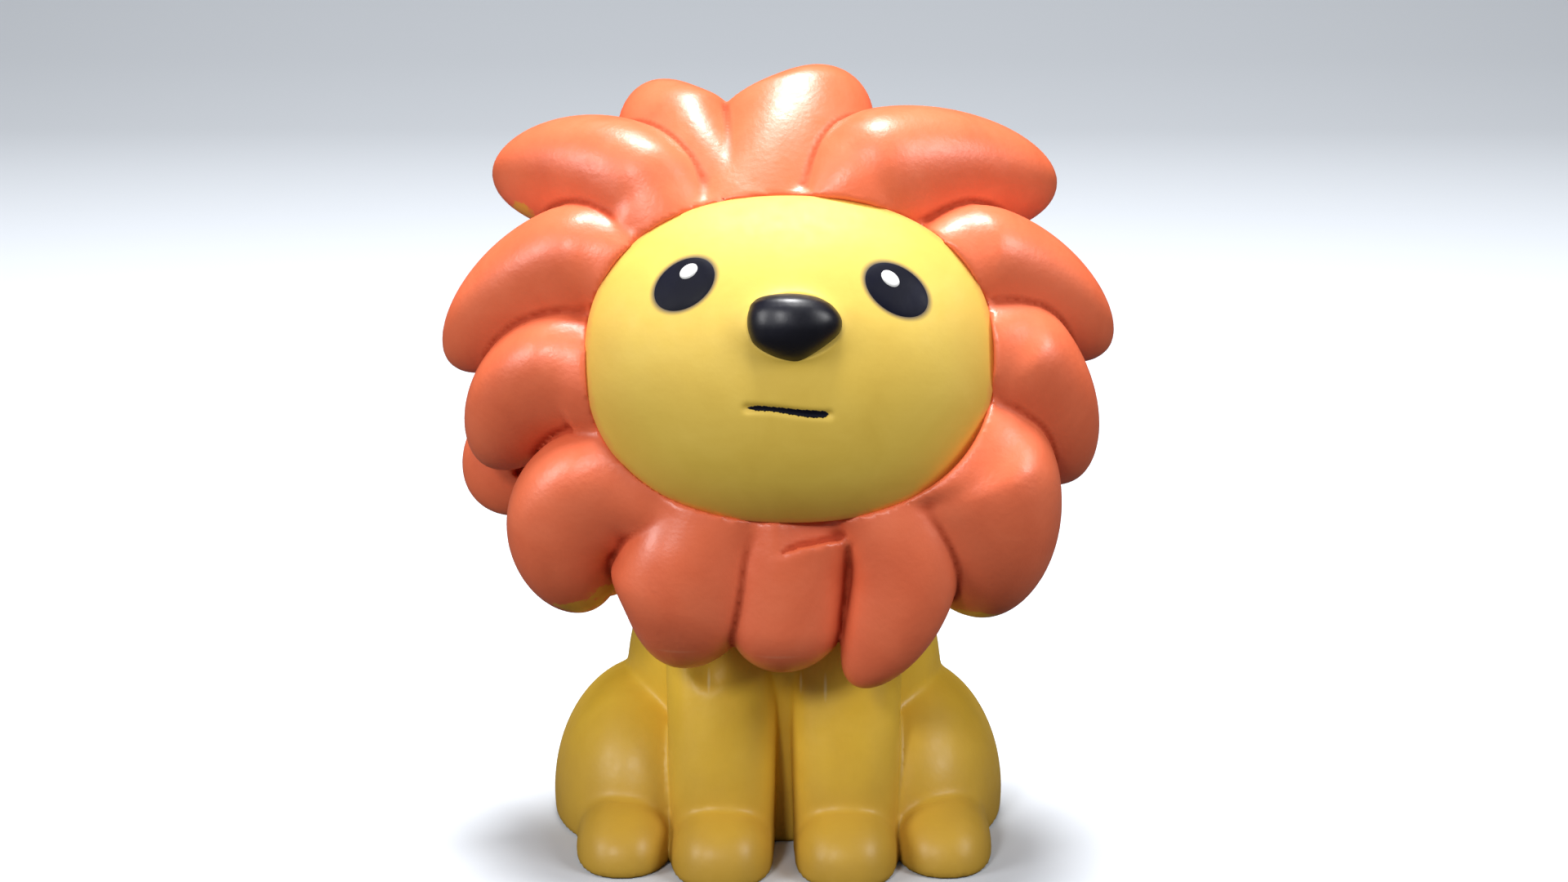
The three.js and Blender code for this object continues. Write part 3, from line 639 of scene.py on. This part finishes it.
def patch(name, oval, height):
    """A painted spot that lies on the face, with a rounded edge that dips just under its surface."""
    u, v = square_to_disc(PATCH_COUNT)
    a = math.radians(oval["turn"])
    along, across = u * oval["half_width"], v * oval["half_height"]
    x = oval["x"] + along * math.cos(a) - across * math.sin(a)
    z = oval["z"] + along * math.sin(a) + across * math.cos(a)
    reach = np.minimum(np.hypot(u, v), 1)
    relief = face_relief(x, z)
    front = dome(x, z, relief + height * (1 - reach**6) - PATCH_DIP)
    back = dome(x, z, relief - PATCH_SUNK)
    return plate(name, front, back, *grid_faces(PATCH_COUNT, PATCH_COUNT))


def mouth():
    """A stroke that is thin at its left end and thicker and ragged towards its right."""
    s, w = np.meshgrid(*[np.linspace(-1, 1, count) for count in MOUTH_COUNTS], indexing="ij")
    (width,) = curves(STROKE, s)
    ragged = 0.02 * np.sin(s * 31) + 0.015 * np.sin(s * 53 + 1) + 0.02 * np.sin(s * 83 + w)
    x = MOUTH_X + s * MOUTH_HALF
    z = mouth_height(x) + w * (width + ragged * np.minimum(1, 8 * (1 - np.abs(s))))
    front = dome(x, z, face_relief(x, z) + MOUTH_HEIGHT - MOUTH_ROUND * w**2).reshape(-1, 3)
    back = dome(x, z, face_relief(x, z) - MOUTH_SUNK).reshape(-1, 3)
    return plate("mouth", front, back, *grid_faces(*MOUTH_COUNTS))


def nose():
    """Rings from the tip at the bottom up to the flat top, each an oval half out of the face."""
    low, high = NOSE["z"][0], NOSE["z"][-1]
    levels = low + (high - low) * (0.5 - 0.5 * np.cos(np.linspace(0, math.pi, NOSE_ROWS)))
    turn = np.linspace(0, 2 * math.pi, NOSE_SIDES, endpoint=False)
    front, back = np.maximum(np.sin(turn), 0), np.minimum(np.sin(turn), 0)
    points = []
    for level, width, shift, depth in zip(levels, *curves(NOSE, levels)):
        x = NOSE_X + shift + width * np.cos(turn)
        z = np.full(NOSE_SIDES, NOSE_Z + level)
        points.append(dome(x, z, depth * front**0.85 + NOSE_SUNK * back))
    faces = []
    for row in range(NOSE_ROWS - 1):
        for side in range(NOSE_SIDES):
            a = row * NOSE_SIDES + side
            b = row * NOSE_SIDES + (side + 1) % NOSE_SIDES
            faces.append([b, a, a + NOSE_SIDES, b + NOSE_SIDES])
    faces.append(list(range(NOSE_SIDES)))
    faces.append([(NOSE_ROWS - 1) * NOSE_SIDES + side for side in reversed(range(NOSE_SIDES))])
    return mesh_object("nose_knob", np.concatenate(points), faces, from_head)


# Body

TORSO = {
    "z": [-2, 7, 15, 22, 28],
    "half_width": [14.5, 15.6, 15.6, 13.8, 9.4],
    "half_depth": [13.5, 13.5, 12.5, 11.0, 9.2],
    "y": [4.5, 4.0, 2.5, 0.5, -1.0],
}
TORSO_TOP = 28.5
TORSO_SLOPE = 0.92  # brings its reach nearer to a distance
BODY_BOX = ((-25, -23, -1.5), (25, 24, 29.5))
NECK_BOX = ((-17, -17, 26), (17, 15, 41))

LEG_X, LEG_HALF_WIDTH, LEG_HALF_DEPTH = 5.9, 4.9, 5.0
LEG_TOP = 25
LEG_Y, LEG_LEAN, LEG_SPREAD = -10.5, 6, 0.15  # y at the ground; its top is this far back, and wider
LEG_POWER = 2.4  # a leg's section is an oval of this power
LEG_SLOPE = 4.6  # brings its reach nearer to a distance in mm
PAW_Y, PAW_RADII, PAW_POWER = -12.8, (4.9, 7.5, 5.9), 2.6
FOOT_X, FOOT_Y, FOOT_RADII, FOOT_POWER = 15.3, -10, (4.7, 8, 5.4), 2.4
HAUNCH_X, HAUNCH_RADII = 12.8, (9.6, 13, 12.9)
HAUNCH_MIDDLE = (-0.6, 1, 2)

# Room for the lock that comes down on the left leg when the toy is squeezed and nods, and on the neck
# for the locks when the head nods down
LEG_HOLLOW = ((-7.6, -14.0, 20), (3.2, 2.8, 3.5))
NECK_HOLLOW = ((0, -13.0, 29.5), (3.2, 3.1, 2.5))

TAIL = [[-2, 14, 3.5], [3.5, 18, 4], [8.6, 16.6, 7], [9.4, 14.8, 11.5], [7.2, 14.2, 16]]
TAIL_RADIUS, TAIL_COUNT = 2.1, 60
TUFT = {
    "place": [-3, 0, 1.8, 3.5, 5.3, 7.0, 8.3, 9.1, 13],
    "radius": [2.3, 2.4, 3.2, 3.7, 3.4, 2.3, 1.1, 0.0, -4],
}
TUFT_ROOT = -0.8  # the tuft begins this far along from the tail's end
TUFT_LOCKS = 5
TUFT_TWIST = 0.09  # radians a mm
TUFT_CREASE = 0.24  # a crease's depth, over the tuft's radius
TUFT_PLAIN, TUFT_FADE = 0.5, 3.0  # where the creases begin, and the mm to their full depth
TUFT_SLOPE = 0.8  # keeps the drop's field nearer to a distance, as its radius changes
TUFT_GAP = 0.15  # mm between it and the back that it lies on

SQUEAKER_Y = 5.0
FLANGE_WELL = (8.0, 1.4)  # radius and top of the hole for the squeaker's flange
BARREL_WELL = (6.4, 15)  # and for its barrel, with room above for the squeeze


def torso(points):
    z = points[..., 2]
    half_width, half_depth, y = curves(TORSO, z)
    reach = np.hypot(points[..., 0] / half_width, (points[..., 1] - y) / half_depth)
    side = (reach - 1) * np.minimum(half_width, half_depth) * TORSO_SLOPE
    return smooth_max(side, z - TORSO_TOP, 1.0)


def leg(side):
    """A front leg, which leans back and widens as it goes up."""

    def shape(points):
        x, y, z = points[..., 0], points[..., 1], points[..., 2]
        share = z / LEG_TOP
        middle = LEG_Y + LEG_LEAN * np.clip(share, -0.1, 1.1) ** 2
        half_width = LEG_HALF_WIDTH * (1 + LEG_SPREAD * share)
        wide, deep = np.abs(x - side * LEG_X) / half_width, np.abs(y - middle) / LEG_HALF_DEPTH
        reach = (wide**LEG_POWER + deep**LEG_POWER) ** (1 / LEG_POWER)
        return smooth_max((reach - 1) * LEG_SLOPE, z - LEG_TOP, 2.0)

    return shape


def tail_line():
    """The middle of the tail, from inside the body round to the tuft."""
    t = np.linspace(0, len(TAIL) - 1, TAIL_COUNT)
    return np.stack([through(t, range(len(TAIL)), values) for values in zip(*TAIL)], -1)


def tail(points):
    best = np.full(points.shape[:-1], OUTSIDE, np.float32)
    for middle in tail_line():
        best = np.minimum(best, np.sqrt(((points - middle) ** 2).sum(-1)) - TAIL_RADIUS)
    return best


def below(height):
    return lambda points: points[..., 2] - height


def above(height):
    return lambda points: height - points[..., 2]


def well(radius, top):
    """A round hole in the base for the squeaker."""

    def shape(points):
        reach = np.hypot(points[..., 0], points[..., 1] - SQUEAKER_Y) - radius
        return np.maximum(reach, points[..., 2] - top)

    return shape


def shoulders(field):
    """The torso run together with the neck, which the body and the neck are both cut from."""
    field.add(torso, blend=0.5)
    field.add(ellipsoid(NECK, (NECK_RADIUS,) * 3), blend=1.6)


def neck():
    field = Field(*NECK_BOX, NECK_STEP)
    shoulders(field)
    field.take_away(below(NECK_Z), blend=0.2)
    field.take_away(above(NECK_TOP), blend=0.5)
    field.take_away(ellipsoid(*NECK_HOLLOW), blend=0.4)
    return mesh_object("neck", *surface(field))


def body():
    field = Field(*BODY_BOX, BODY_STEP)
    shoulders(field)
    for side in (-1, 1):
        x, y, z = HAUNCH_MIDDLE
        field.add(ellipsoid((x + side * HAUNCH_X, y, z), HAUNCH_RADII), blend=0.5)
    for side in (-1, 1):
        field.add(leg(side), blend=0.3)
    for side in (-1, 1):
        field.add(pebble((side * FOOT_X, FOOT_Y, 0), FOOT_RADII, FOOT_POWER), blend=0.6)
        field.add(pebble((side * LEG_X, PAW_Y, 0), PAW_RADII, PAW_POWER), blend=0.45)
    field.add(tail, blend=1.0)
    field.take_away(below(0), blend=0.35)
    field.take_away(above(NECK_Z), blend=0.2)
    field.take_away(well(*FLANGE_WELL), blend=0.2)
    field.take_away(well(*BARREL_WELL), blend=0.2)
    field.take_away(ellipsoid(*LEG_HOLLOW), blend=0.5)
    return mesh_object("body", *surface(field))


def tuft():
    """A fat drop on the tail's end, with creases that run up to its tip."""
    line = tail_line()
    end, along = line[-1], line[-1] - line[-2]
    along /= np.linalg.norm(along)
    across = np.cross([0, 1, 0], along)
    across /= np.linalg.norm(across)
    out = np.cross(along, across)

    def drop(points):
        offset = points - end
        place, wide, deep = offset @ along, offset @ across, offset @ out
        turn = np.arctan2(deep, wide) + TUFT_TWIST * place
        depth = TUFT_CREASE * np.clip((place - TUFT_PLAIN) / TUFT_FADE, 0, 1)
        crease = depth * (1 - np.abs(np.sin(TUFT_LOCKS / 2 * turn)))
        (radius,) = curves(TUFT, place)
        radius = np.where(radius > 0, radius * (1 - crease), radius)
        return smooth_max((np.hypot(wide, deep) - radius) * TUFT_SLOPE, TUFT_ROOT - place, 0.3)

    field = Field(end - 8, end + 13, TUFT_STEP)
    field.add(drop, blend=0.3)
    field.take_away(lambda points: torso(points) - TUFT_GAP, blend=0.2)
    return mesh_object("tuft", *surface(field))


# Squeaker

# Radius and z of its barrel's profile: the sound hole, the flange, the outside with its ridge, the rim,
# and the bore
BARREL = [
    (1.8, 0.45), (1.95, 0.3),
    (6.9, 0.3), (7.1, 0.42), (7.5, 0.42), (7.8, 0.6), (7.8, 0.95), (7.65, 1.1), (6.2, 1.1),
    (6.0, 1.3), (6.0, 2.7), (6.3, 3.0), (6.3, 3.35), (6.0, 3.7), (6.0, 11.05),
    (5.85, 11.2), (5.15, 11.2),
    (5.0, 11.05), (5.0, 3.9), (4.2, 3.9), (4.2, 1.1), (1.8, 1.1),
]
BARREL_SIDES = 96


def barrel():
    """The profile, turned round the squeaker's axis."""
    points, faces = [], []
    for radius, z in BARREL:
        for side in range(BARREL_SIDES):
            a = 2 * math.pi * side / BARREL_SIDES
            points.append((radius * math.cos(a), SQUEAKER_Y + radius * math.sin(a), z))
    for row in range(len(BARREL)):
        for side in range(BARREL_SIDES):
            a, b = row * BARREL_SIDES, (row + 1) % len(BARREL) * BARREL_SIDES
            c, d = side, (side + 1) % BARREL_SIDES
            faces.append([a + c, a + d, b + d, b + c])
    return mesh_object("squeaker_body", points, faces)


# Materials


def linear(red, green, blue):
    """A colour as it is seen, from 0 to 255, as Blender takes it."""

    def one(value):
        value /= 255
        return value / 12.92 if value <= 0.04045 else ((value + 0.055) / 1.055) ** 2.4

    return (one(red), one(green), one(blue), 1.0)


class Material:
    """A material with a Principled BSDF, and short names for the nodes that lead to it."""

    def __init__(self, name):
        self.material = bpy.data.materials.new(name)
        self.material.use_nodes = True
        self.nodes = self.material.node_tree.nodes
        self.links = self.material.node_tree.links
        self.shader = self.nodes["Principled BSDF"]
        self.place = self.node("TexCoord").outputs["Object"]

    def give(self, socket, value):
        """Gives a socket a number, a vector or a colour, or links another node's output to it."""
        if isinstance(value, bpy.types.NodeSocket):
            self.links.new(value, socket)
        else:
            socket.default_value = value

    def node(self, kind, **inputs):
        node = self.nodes.new("ShaderNode" + kind)
        for name, value in inputs.items():
            self.give(node.inputs[name], value)
        return node

    def value(self, name):
        """A value kept for the mesh's points."""
        node = self.node("Attribute")
        node.attribute_name = name
        return node.outputs["Fac"]

    def noise(self, size_mm, detail=3.0, roughness=0.5, lumps=0.0):
        """Soft noise round 0.5, most of it between 0.3 and 0.7."""
        form = {"Detail": detail, "Roughness": roughness, "Distortion": lumps}
        node = self.node("TexNoise", Vector=self.place, Scale=1 / (size_mm * MM), **form)
        return node.outputs["Fac"]

    def ramp(self, value, stops):
        node = self.node("ValToRGB", Fac=value)
        band = node.color_ramp
        while len(band.elements) < len(stops):
            band.elements.new(0.5)
        for element, (place, colour) in zip(band.elements, stops):
            element.position = place
            element.color = colour
        return node.outputs["Color"]

    def level(self, value, low, high, to_low, to_high):
        """Brings a value's range from low to high into another one, and holds it there."""
        ends = {"From Min": low, "From Max": high, "To Min": to_low, "To Max": to_high}
        return self.node("MapRange", Value=value, **ends).outputs["Result"]

    def mix(self, share, a, b):
        node = self.node("Mix")
        node.data_type = "RGBA"
        for n, value in ((0, share), (6, a), (7, b)):  # its sockets for a share and two colours
            self.give(node.inputs[n], value)
        return node.outputs[2]

    def plus(self, a, b):
        node = self.node("Math")
        self.give(node.inputs[0], a)
        self.give(node.inputs[1], b)
        return node.outputs["Value"]

    def vector(self, operation, *values):
        node = self.node("VectorMath")
        node.operation = operation
        for socket, value in zip(node.inputs, values):
            self.give(socket, value)
        return node.outputs

    def oval(self, oval):
        """How far a point of the head is from an oval's middle, seen from the front: 1 on its edge."""
        a = math.radians(oval["turn"])
        x, z = FACE_X + oval["x"], FACE_Z + oval["z"]
        both = self.node("CombineXYZ")
        axes = (
            (math.cos(a), math.sin(a), oval["half_width"]),
            (-math.sin(a), math.cos(a), oval["half_height"]),
        )
        for n, (right, up, size) in enumerate(axes):
            axis = (right * HEAD_AXES[0] + up * HEAD_AXES[2]) / size
            along = self.vector("DOT_PRODUCT", self.place, axis / MM)["Value"]
            middle = axis @ (HEAD + MIDDLE) + (right * x + up * z) / size
            self.give(both.inputs[n], self.plus(along, -middle))
        return self.vector("LENGTH", both.outputs["Vector"])["Value"]

    def spot(self, centre, radii):
        """How far a point is from a spot's middle in the toy's millimetres: 1 on its edge."""
        away = self.vector("SUBTRACT", self.place, (np.array(centre) + MIDDLE) * MM)["Vector"]
        scaled = self.vector("DIVIDE", away, np.array(radii) * MM)["Vector"]
        return self.vector("LENGTH", scaled)["Value"]

    def bump(self, parts):
        """Bumps one on another, each a value, a strength and a height in mm."""
        before = None
        for value, strength, height in parts:
            node = self.node("Bump", Height=value, Strength=strength, Distance=height * MM)
            if before is not None:
                self.links.new(before, node.inputs["Normal"])
            before = node.outputs["Normal"]
        self.links.new(before, self.shader.inputs["Normal"])

    def clouds(self, dark, middle, light):
        """A colour that drifts between three over some millimetres, as painted rubber's does."""
        stops = [(0.3, linear(*dark)), (0.5, linear(*middle)), (0.72, linear(*light))]
        return self.ramp(self.noise(7, 4, 0.55, 0.6), stops)

    def between(self, low, high):
        """A roughness that goes between two over a millimetre or so."""
        return self.level(self.noise(1.4, 4), 0.3, 0.7, low, high)

    def grain(self, fine, coarse=0.25, coarse_height=0.12):
        """The mould's fine grain and the slight waves under it."""
        self.bump([(self.noise(0.45, 3), fine, 0.06), (self.noise(3.5, 2), coarse, coarse_height)])

    def marks(self, colour, spots, outer, inner, share, mark, patchy=0.0):
        """Spots of another colour, which fade in from outer to inner, both as shares of their size."""
        for centre, radii in spots:
            near = self.plus(self.spot(centre, radii), patchy)
            colour = self.mix(self.level(near, outer, inner, 0, share), colour, mark)
        return colour

    def colour(self, value):
        self.give(self.shader.inputs["Base Color"], value)

    def roughness(self, value):
        self.give(self.shader.inputs["Roughness"], value)

    def specular(self, value):
        self.give(self.shader.inputs["Specular IOR Level"], value)


def rubber(name, colours, rough, grain, shine):
    m = Material(name)
    m.colour(m.clouds(*colours))
    m.roughness(m.between(*rough))
    m.grain(grain)
    m.specular(shine)
    return m


def body_rubber():
    """Yellow, darkened towards the feet with painted shade, with painted highlights on runs of varnish
    at the tops of the legs.
    """
    shade_near_ground, run_highlight = linear(200, 158, 60), linear(250, 228, 160)
    m = Material("yellow_rubber")
    colour = m.clouds((228, 183, 52), (234, 190, 58), (240, 197, 66))
    z = m.node("SeparateXYZ", Vector=m.place).outputs["Z"]
    height = m.plus(z, m.level(m.noise(5, 3), 0.3, 0.7, -1.5 * MM, 1.5 * MM))
    # painted shade: the yellow darkens towards the ground
    colour = m.mix(m.level(height, 17 * MM, 2 * MM, 0, 1), colour, shade_near_ground)
    # painted highlights on the varnish runs at the tops of the legs
    m.colour(m.marks(colour, RUN_HIGHLIGHTS, 1.3, 0.3, 0.7, run_highlight))
    m.roughness(m.between(0.36, 0.48))
    m.grain(0.22)
    m.specular(0.4)
    return m


def mane_paint():
    """Satin orange, darkened with painted shade and duller in the creases between the locks."""
    crease_shade, bare_rubber, flash_highlight = linear(186, 74, 46), linear(226, 176, 62), linear(240, 140, 104)
    m = Material("orange_mane_paint")
    colour = m.clouds((228, 107, 69), (235, 114, 75), (240, 121, 82))
    deep = m.level(m.value("crease"), 0.1, 0.8, 0, 1)
    # painted shade darkens the creases between the locks
    colour = m.mix(deep, colour, crease_shade)
    patchy = m.level(m.noise(0.9, 4, 0.6), 0.3, 0.7, -0.35, 0.35)
    colour = m.marks(colour, MISSED, 1.15, 0.85, 0.85, bare_rubber, patchy)
    # painted highlights along the mould's flash lines
    m.colour(m.marks(colour, FLASH_HIGHLIGHTS, 1.3, 0.4, 0.6, flash_highlight))
    m.roughness(m.plus(m.between(0.31, 0.42), m.level(deep, 0, 1, 0, 0.4)))
    m.grain(0.4)
    m.specular(m.level(deep, 0, 0.7, 0.58, 0.1))
    return m


def face_rubber():
    """Pale yellow, with orange overspray at the rim and a soft dark edge round the sprayed eyes."""
    overspray, rim_paint, eye_edge = linear(222, 130, 50), linear(228, 138, 62), linear(46, 36, 44)
    m = Material("pale_yellow_rubber")
    colour = m.clouds((221, 184, 66), (226, 190, 72), (231, 196, 80))
    ragged = m.plus(m.value("reach"), m.level(m.noise(1.1, 4, 0.6), 0, 1, -0.02, 0.02))
    colour = m.mix(m.level(ragged, 0.75, 1.0, 0, 0.18), colour, overspray)
    colour = m.mix(m.level(ragged, 0.965, 1.0, 0, 0.6), colour, rim_paint)
    for eye in EYES:
        colour = m.mix(m.level(m.oval(eye), 1.14, 0.98, 0, 0.85), colour, eye_edge)
    m.colour(colour)
    m.roughness(m.between(0.58, 0.66))
    m.grain(0.14, 0.2, 0.1)
    m.specular(0.75)
    return m


def plastic(name, colour, rough):
    m = Material(name)
    darker = [part - 8 for part in colour]
    m.colour(m.ramp(m.noise(4, 3), [(0.3, linear(*darker)), (0.7, linear(*colour))]))
    m.roughness(m.level(m.noise(1.0, 3), 0.3, 0.7, rough - 0.04, rough + 0.06))
    m.bump([(m.noise(0.6, 2), 0.1, 0.03)])
    return m


# Marks as middles and radii in the toy's mm: edges that the paint missed, painted highlights along the
# mould's flash lines, and painted highlights on runs of clear varnish at the tops of the legs
MISSED = [
    ((-24.2, -5.2, 61.4), (1.3, 1.6, 0.9)),
    ((-18.6, -16.4, 26.5), (2.2, 2.0, 0.75)),
    ((-16.6, -15.6, 27.6), (1.4, 2.0, 0.8)),
    ((17.3, -16.4, 25.6), (2.6, 2.6, 0.75)),
]
FLASH_HIGHLIGHTS = [((-9.9, -21.2, 23.75), (1.9, 1.4, 0.16)), ((-0.6, -21.3, 23.4), (1.8, 1.2, 0.16))]
RUN_HIGHLIGHTS = [
    ((-7.1, -12.3, 17.9), (0.16, 1.0, 1.1)),
    ((3.9, -12.5, 17.2), (0.16, 1.0, 1.2)),
    ((1.6, -11.1, 17.2), (0.14, 1.0, 0.9)),
]

TUFT_ORANGE = ((223, 104, 66), (230, 111, 72), (235, 118, 79))
GLOSS_BLACK = ((8, 8, 18), (11, 11, 23), (17, 17, 31))
SATIN_BLACK = ((7, 8, 20), (9, 10, 26), (15, 17, 36))
PAINT_WHITE = ((232, 232, 230), (240, 240, 238), (246, 246, 244))

orange = rubber("orange_rubber_paint", TUFT_ORANGE, rough=(0.4, 0.5), grain=0.3, shine=0.42)
yellow = body_rubber()
pale = face_rubber()
black = rubber("black_gloss_paint", GLOSS_BLACK, rough=(0.32, 0.42), grain=0.12, shine=0.45)
ink = rubber("black_satin_paint", SATIN_BLACK, rough=(0.42, 0.55), grain=0.15, shine=0.14)
white = rubber("white_paint", PAINT_WHITE, rough=(0.35, 0.45), grain=0.1, shine=0.5)
casing = plastic("squeaker_plastic", (226, 224, 214), 0.42)
strip = plastic("reed_plastic", (196, 206, 214), 0.3)

# Pieces


def paint(thing, material):
    thing.data.materials.clear()
    thing.data.materials.append(material.material)


def finish_piece(thing, material, body_name, node):
    """Paints a piece that stands for a CAD node, and joins it to its body."""
    paint(thing, material)
    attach(thing, body_name)
    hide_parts(node)


def give_way(thing):
    """Gives a piece a mesh of its own, which no other object shares."""
    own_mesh(thing)


finish_piece(mane(), mane_paint(), "head", "mane_skin")
finish_piece(face(), pale, "head", "face_skin")
for eye in EYES:
    spot = patch(eye["side"] + "_eye", eye, EYE_HEIGHT)
    finish_piece(spot, ink, "head", "eye_" + eye["side"])
for glint in GLINTS:
    spot = patch(glint["side"] + "_glint", glint, GLINT_HEIGHT)
    finish_piece(spot, white, "head", "eye_glint_" + glint["side"])
finish_piece(mouth(), ink, "head", "mouth_line")
finish_piece(nose(), black, "head", "nose")
finish_piece(neck(), yellow, "neck", "neck_skin")
body_piece = body()
finish_piece(body_piece, yellow, "body", "body_skin")
give_way(body_piece)
tuft_piece = tuft()
finish_piece(tuft_piece, orange, "body", "tail_tuft")
give_way(tuft_piece)
finish_piece(barrel(), casing, "body", "squeaker_barrel")
for node, material in (("tone_block", casing), ("reed_clamp", casing), ("reed", strip)):
    paint(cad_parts[node], material)


# Stage, light and camera, in metres

STAGE_FRONT, STAGE_TOP, STAGE_HALF_WIDTH = -1.2, 1.6, 2.2
STAGE_BEND = 0.5  # the floor turns up this far behind the toy, over a quarter circle of this radius
STAGE_BEND_STEPS = 8
FLOOR_LIT, FLOOR_SEEN = linear(50, 49, 47), linear(214, 219, 226)  # to the toy, and to the camera

# name, place, height on the toy that it is aimed at, size, watts
LIGHTS = [
    ("key", (0.0, 0.04, 0.62), 0.04, 0.22, 6.2),
    ("front", (-0.24, -0.53, 0.4), 0.04, 0.12, 1.4),
    ("left", (-0.52, -0.25, 0.3), 0.03, 0.25, 1.6),
    ("right", (0.5, -0.27, 0.4), 0.04, 0.3, 2.1),
]
SKY_COLOUR, SKY_STRENGTH = (0.9, 0.95, 1.0, 1), 0.17

CAMERA_TARGET = (0.0006, -0.0056, 0.04)
CAMERA_RISE = math.radians(14.6)  # how far above the horizon it looks from
CAMERA_DISTANCE = 0.245
CAMERA_LENS, CAMERA_SENSOR = 60, 36  # mm


def stage():
    """A floor that curves up into a backdrop."""
    line = [(STAGE_FRONT, 0.0), (STAGE_BEND, 0.0)]
    for step in range(1, STAGE_BEND_STEPS + 1):
        a = math.radians(90 * step / STAGE_BEND_STEPS)
        line.append((STAGE_BEND * (1 + math.sin(a)), STAGE_BEND * (1 - math.cos(a))))
    line.append((2 * STAGE_BEND, STAGE_TOP))
    points = [(x, y, z) for y, z in line for x in (-STAGE_HALF_WIDTH, STAGE_HALF_WIDTH)]
    faces = [(2 * n, 2 * n + 1, 2 * n + 3, 2 * n + 2) for n in range(len(line) - 1)]
    mesh = bpy.data.meshes.new("floor")
    mesh.from_pydata(points, [], faces)
    mesh.polygons.foreach_set("use_smooth", np.ones(len(faces), bool))
    m = Material("pale_floor")
    seen = m.node("LightPath").outputs["Is Camera Ray"]
    m.colour(m.mix(seen, FLOOR_LIT, FLOOR_SEEN))
    m.roughness(0.85)
    mesh.materials.append(m.material)
    add_object("floor", mesh)


def aim(thing, place, target):
    thing.location = place
    thing.rotation_euler = (Vector(target) - Vector(place)).to_track_quat("-Z", "Y").to_euler()


def area_light(name, place, height, size, watts):
    light = bpy.data.lights.new(name, "AREA")
    light.shape = "DISK"
    light.size = size
    light.energy = watts
    aim(add_object(name, light), place, (0, 0, height))


def camera():
    data = bpy.data.cameras.new("camera")
    data.lens = CAMERA_LENS
    data.sensor_width = CAMERA_SENSOR
    data.clip_start = 0.01
    back = Vector((0, -math.cos(CAMERA_RISE), math.sin(CAMERA_RISE)))
    thing = add_object("camera", data)
    aim(thing, Vector(CAMERA_TARGET) + back * CAMERA_DISTANCE, CAMERA_TARGET)
    bpy.context.scene.camera = thing


stage()
for lamp in LIGHTS:
    area_light(*lamp)
camera()

world = bpy.data.worlds.new("studio")
bpy.context.scene.world = world
world.use_nodes = True
sky = world.node_tree.nodes["Background"]
sky.inputs["Color"].default_value = SKY_COLOUR
sky.inputs["Strength"].default_value = SKY_STRENGTH
bpy.context.scene.view_settings.view_transform = "Standard"
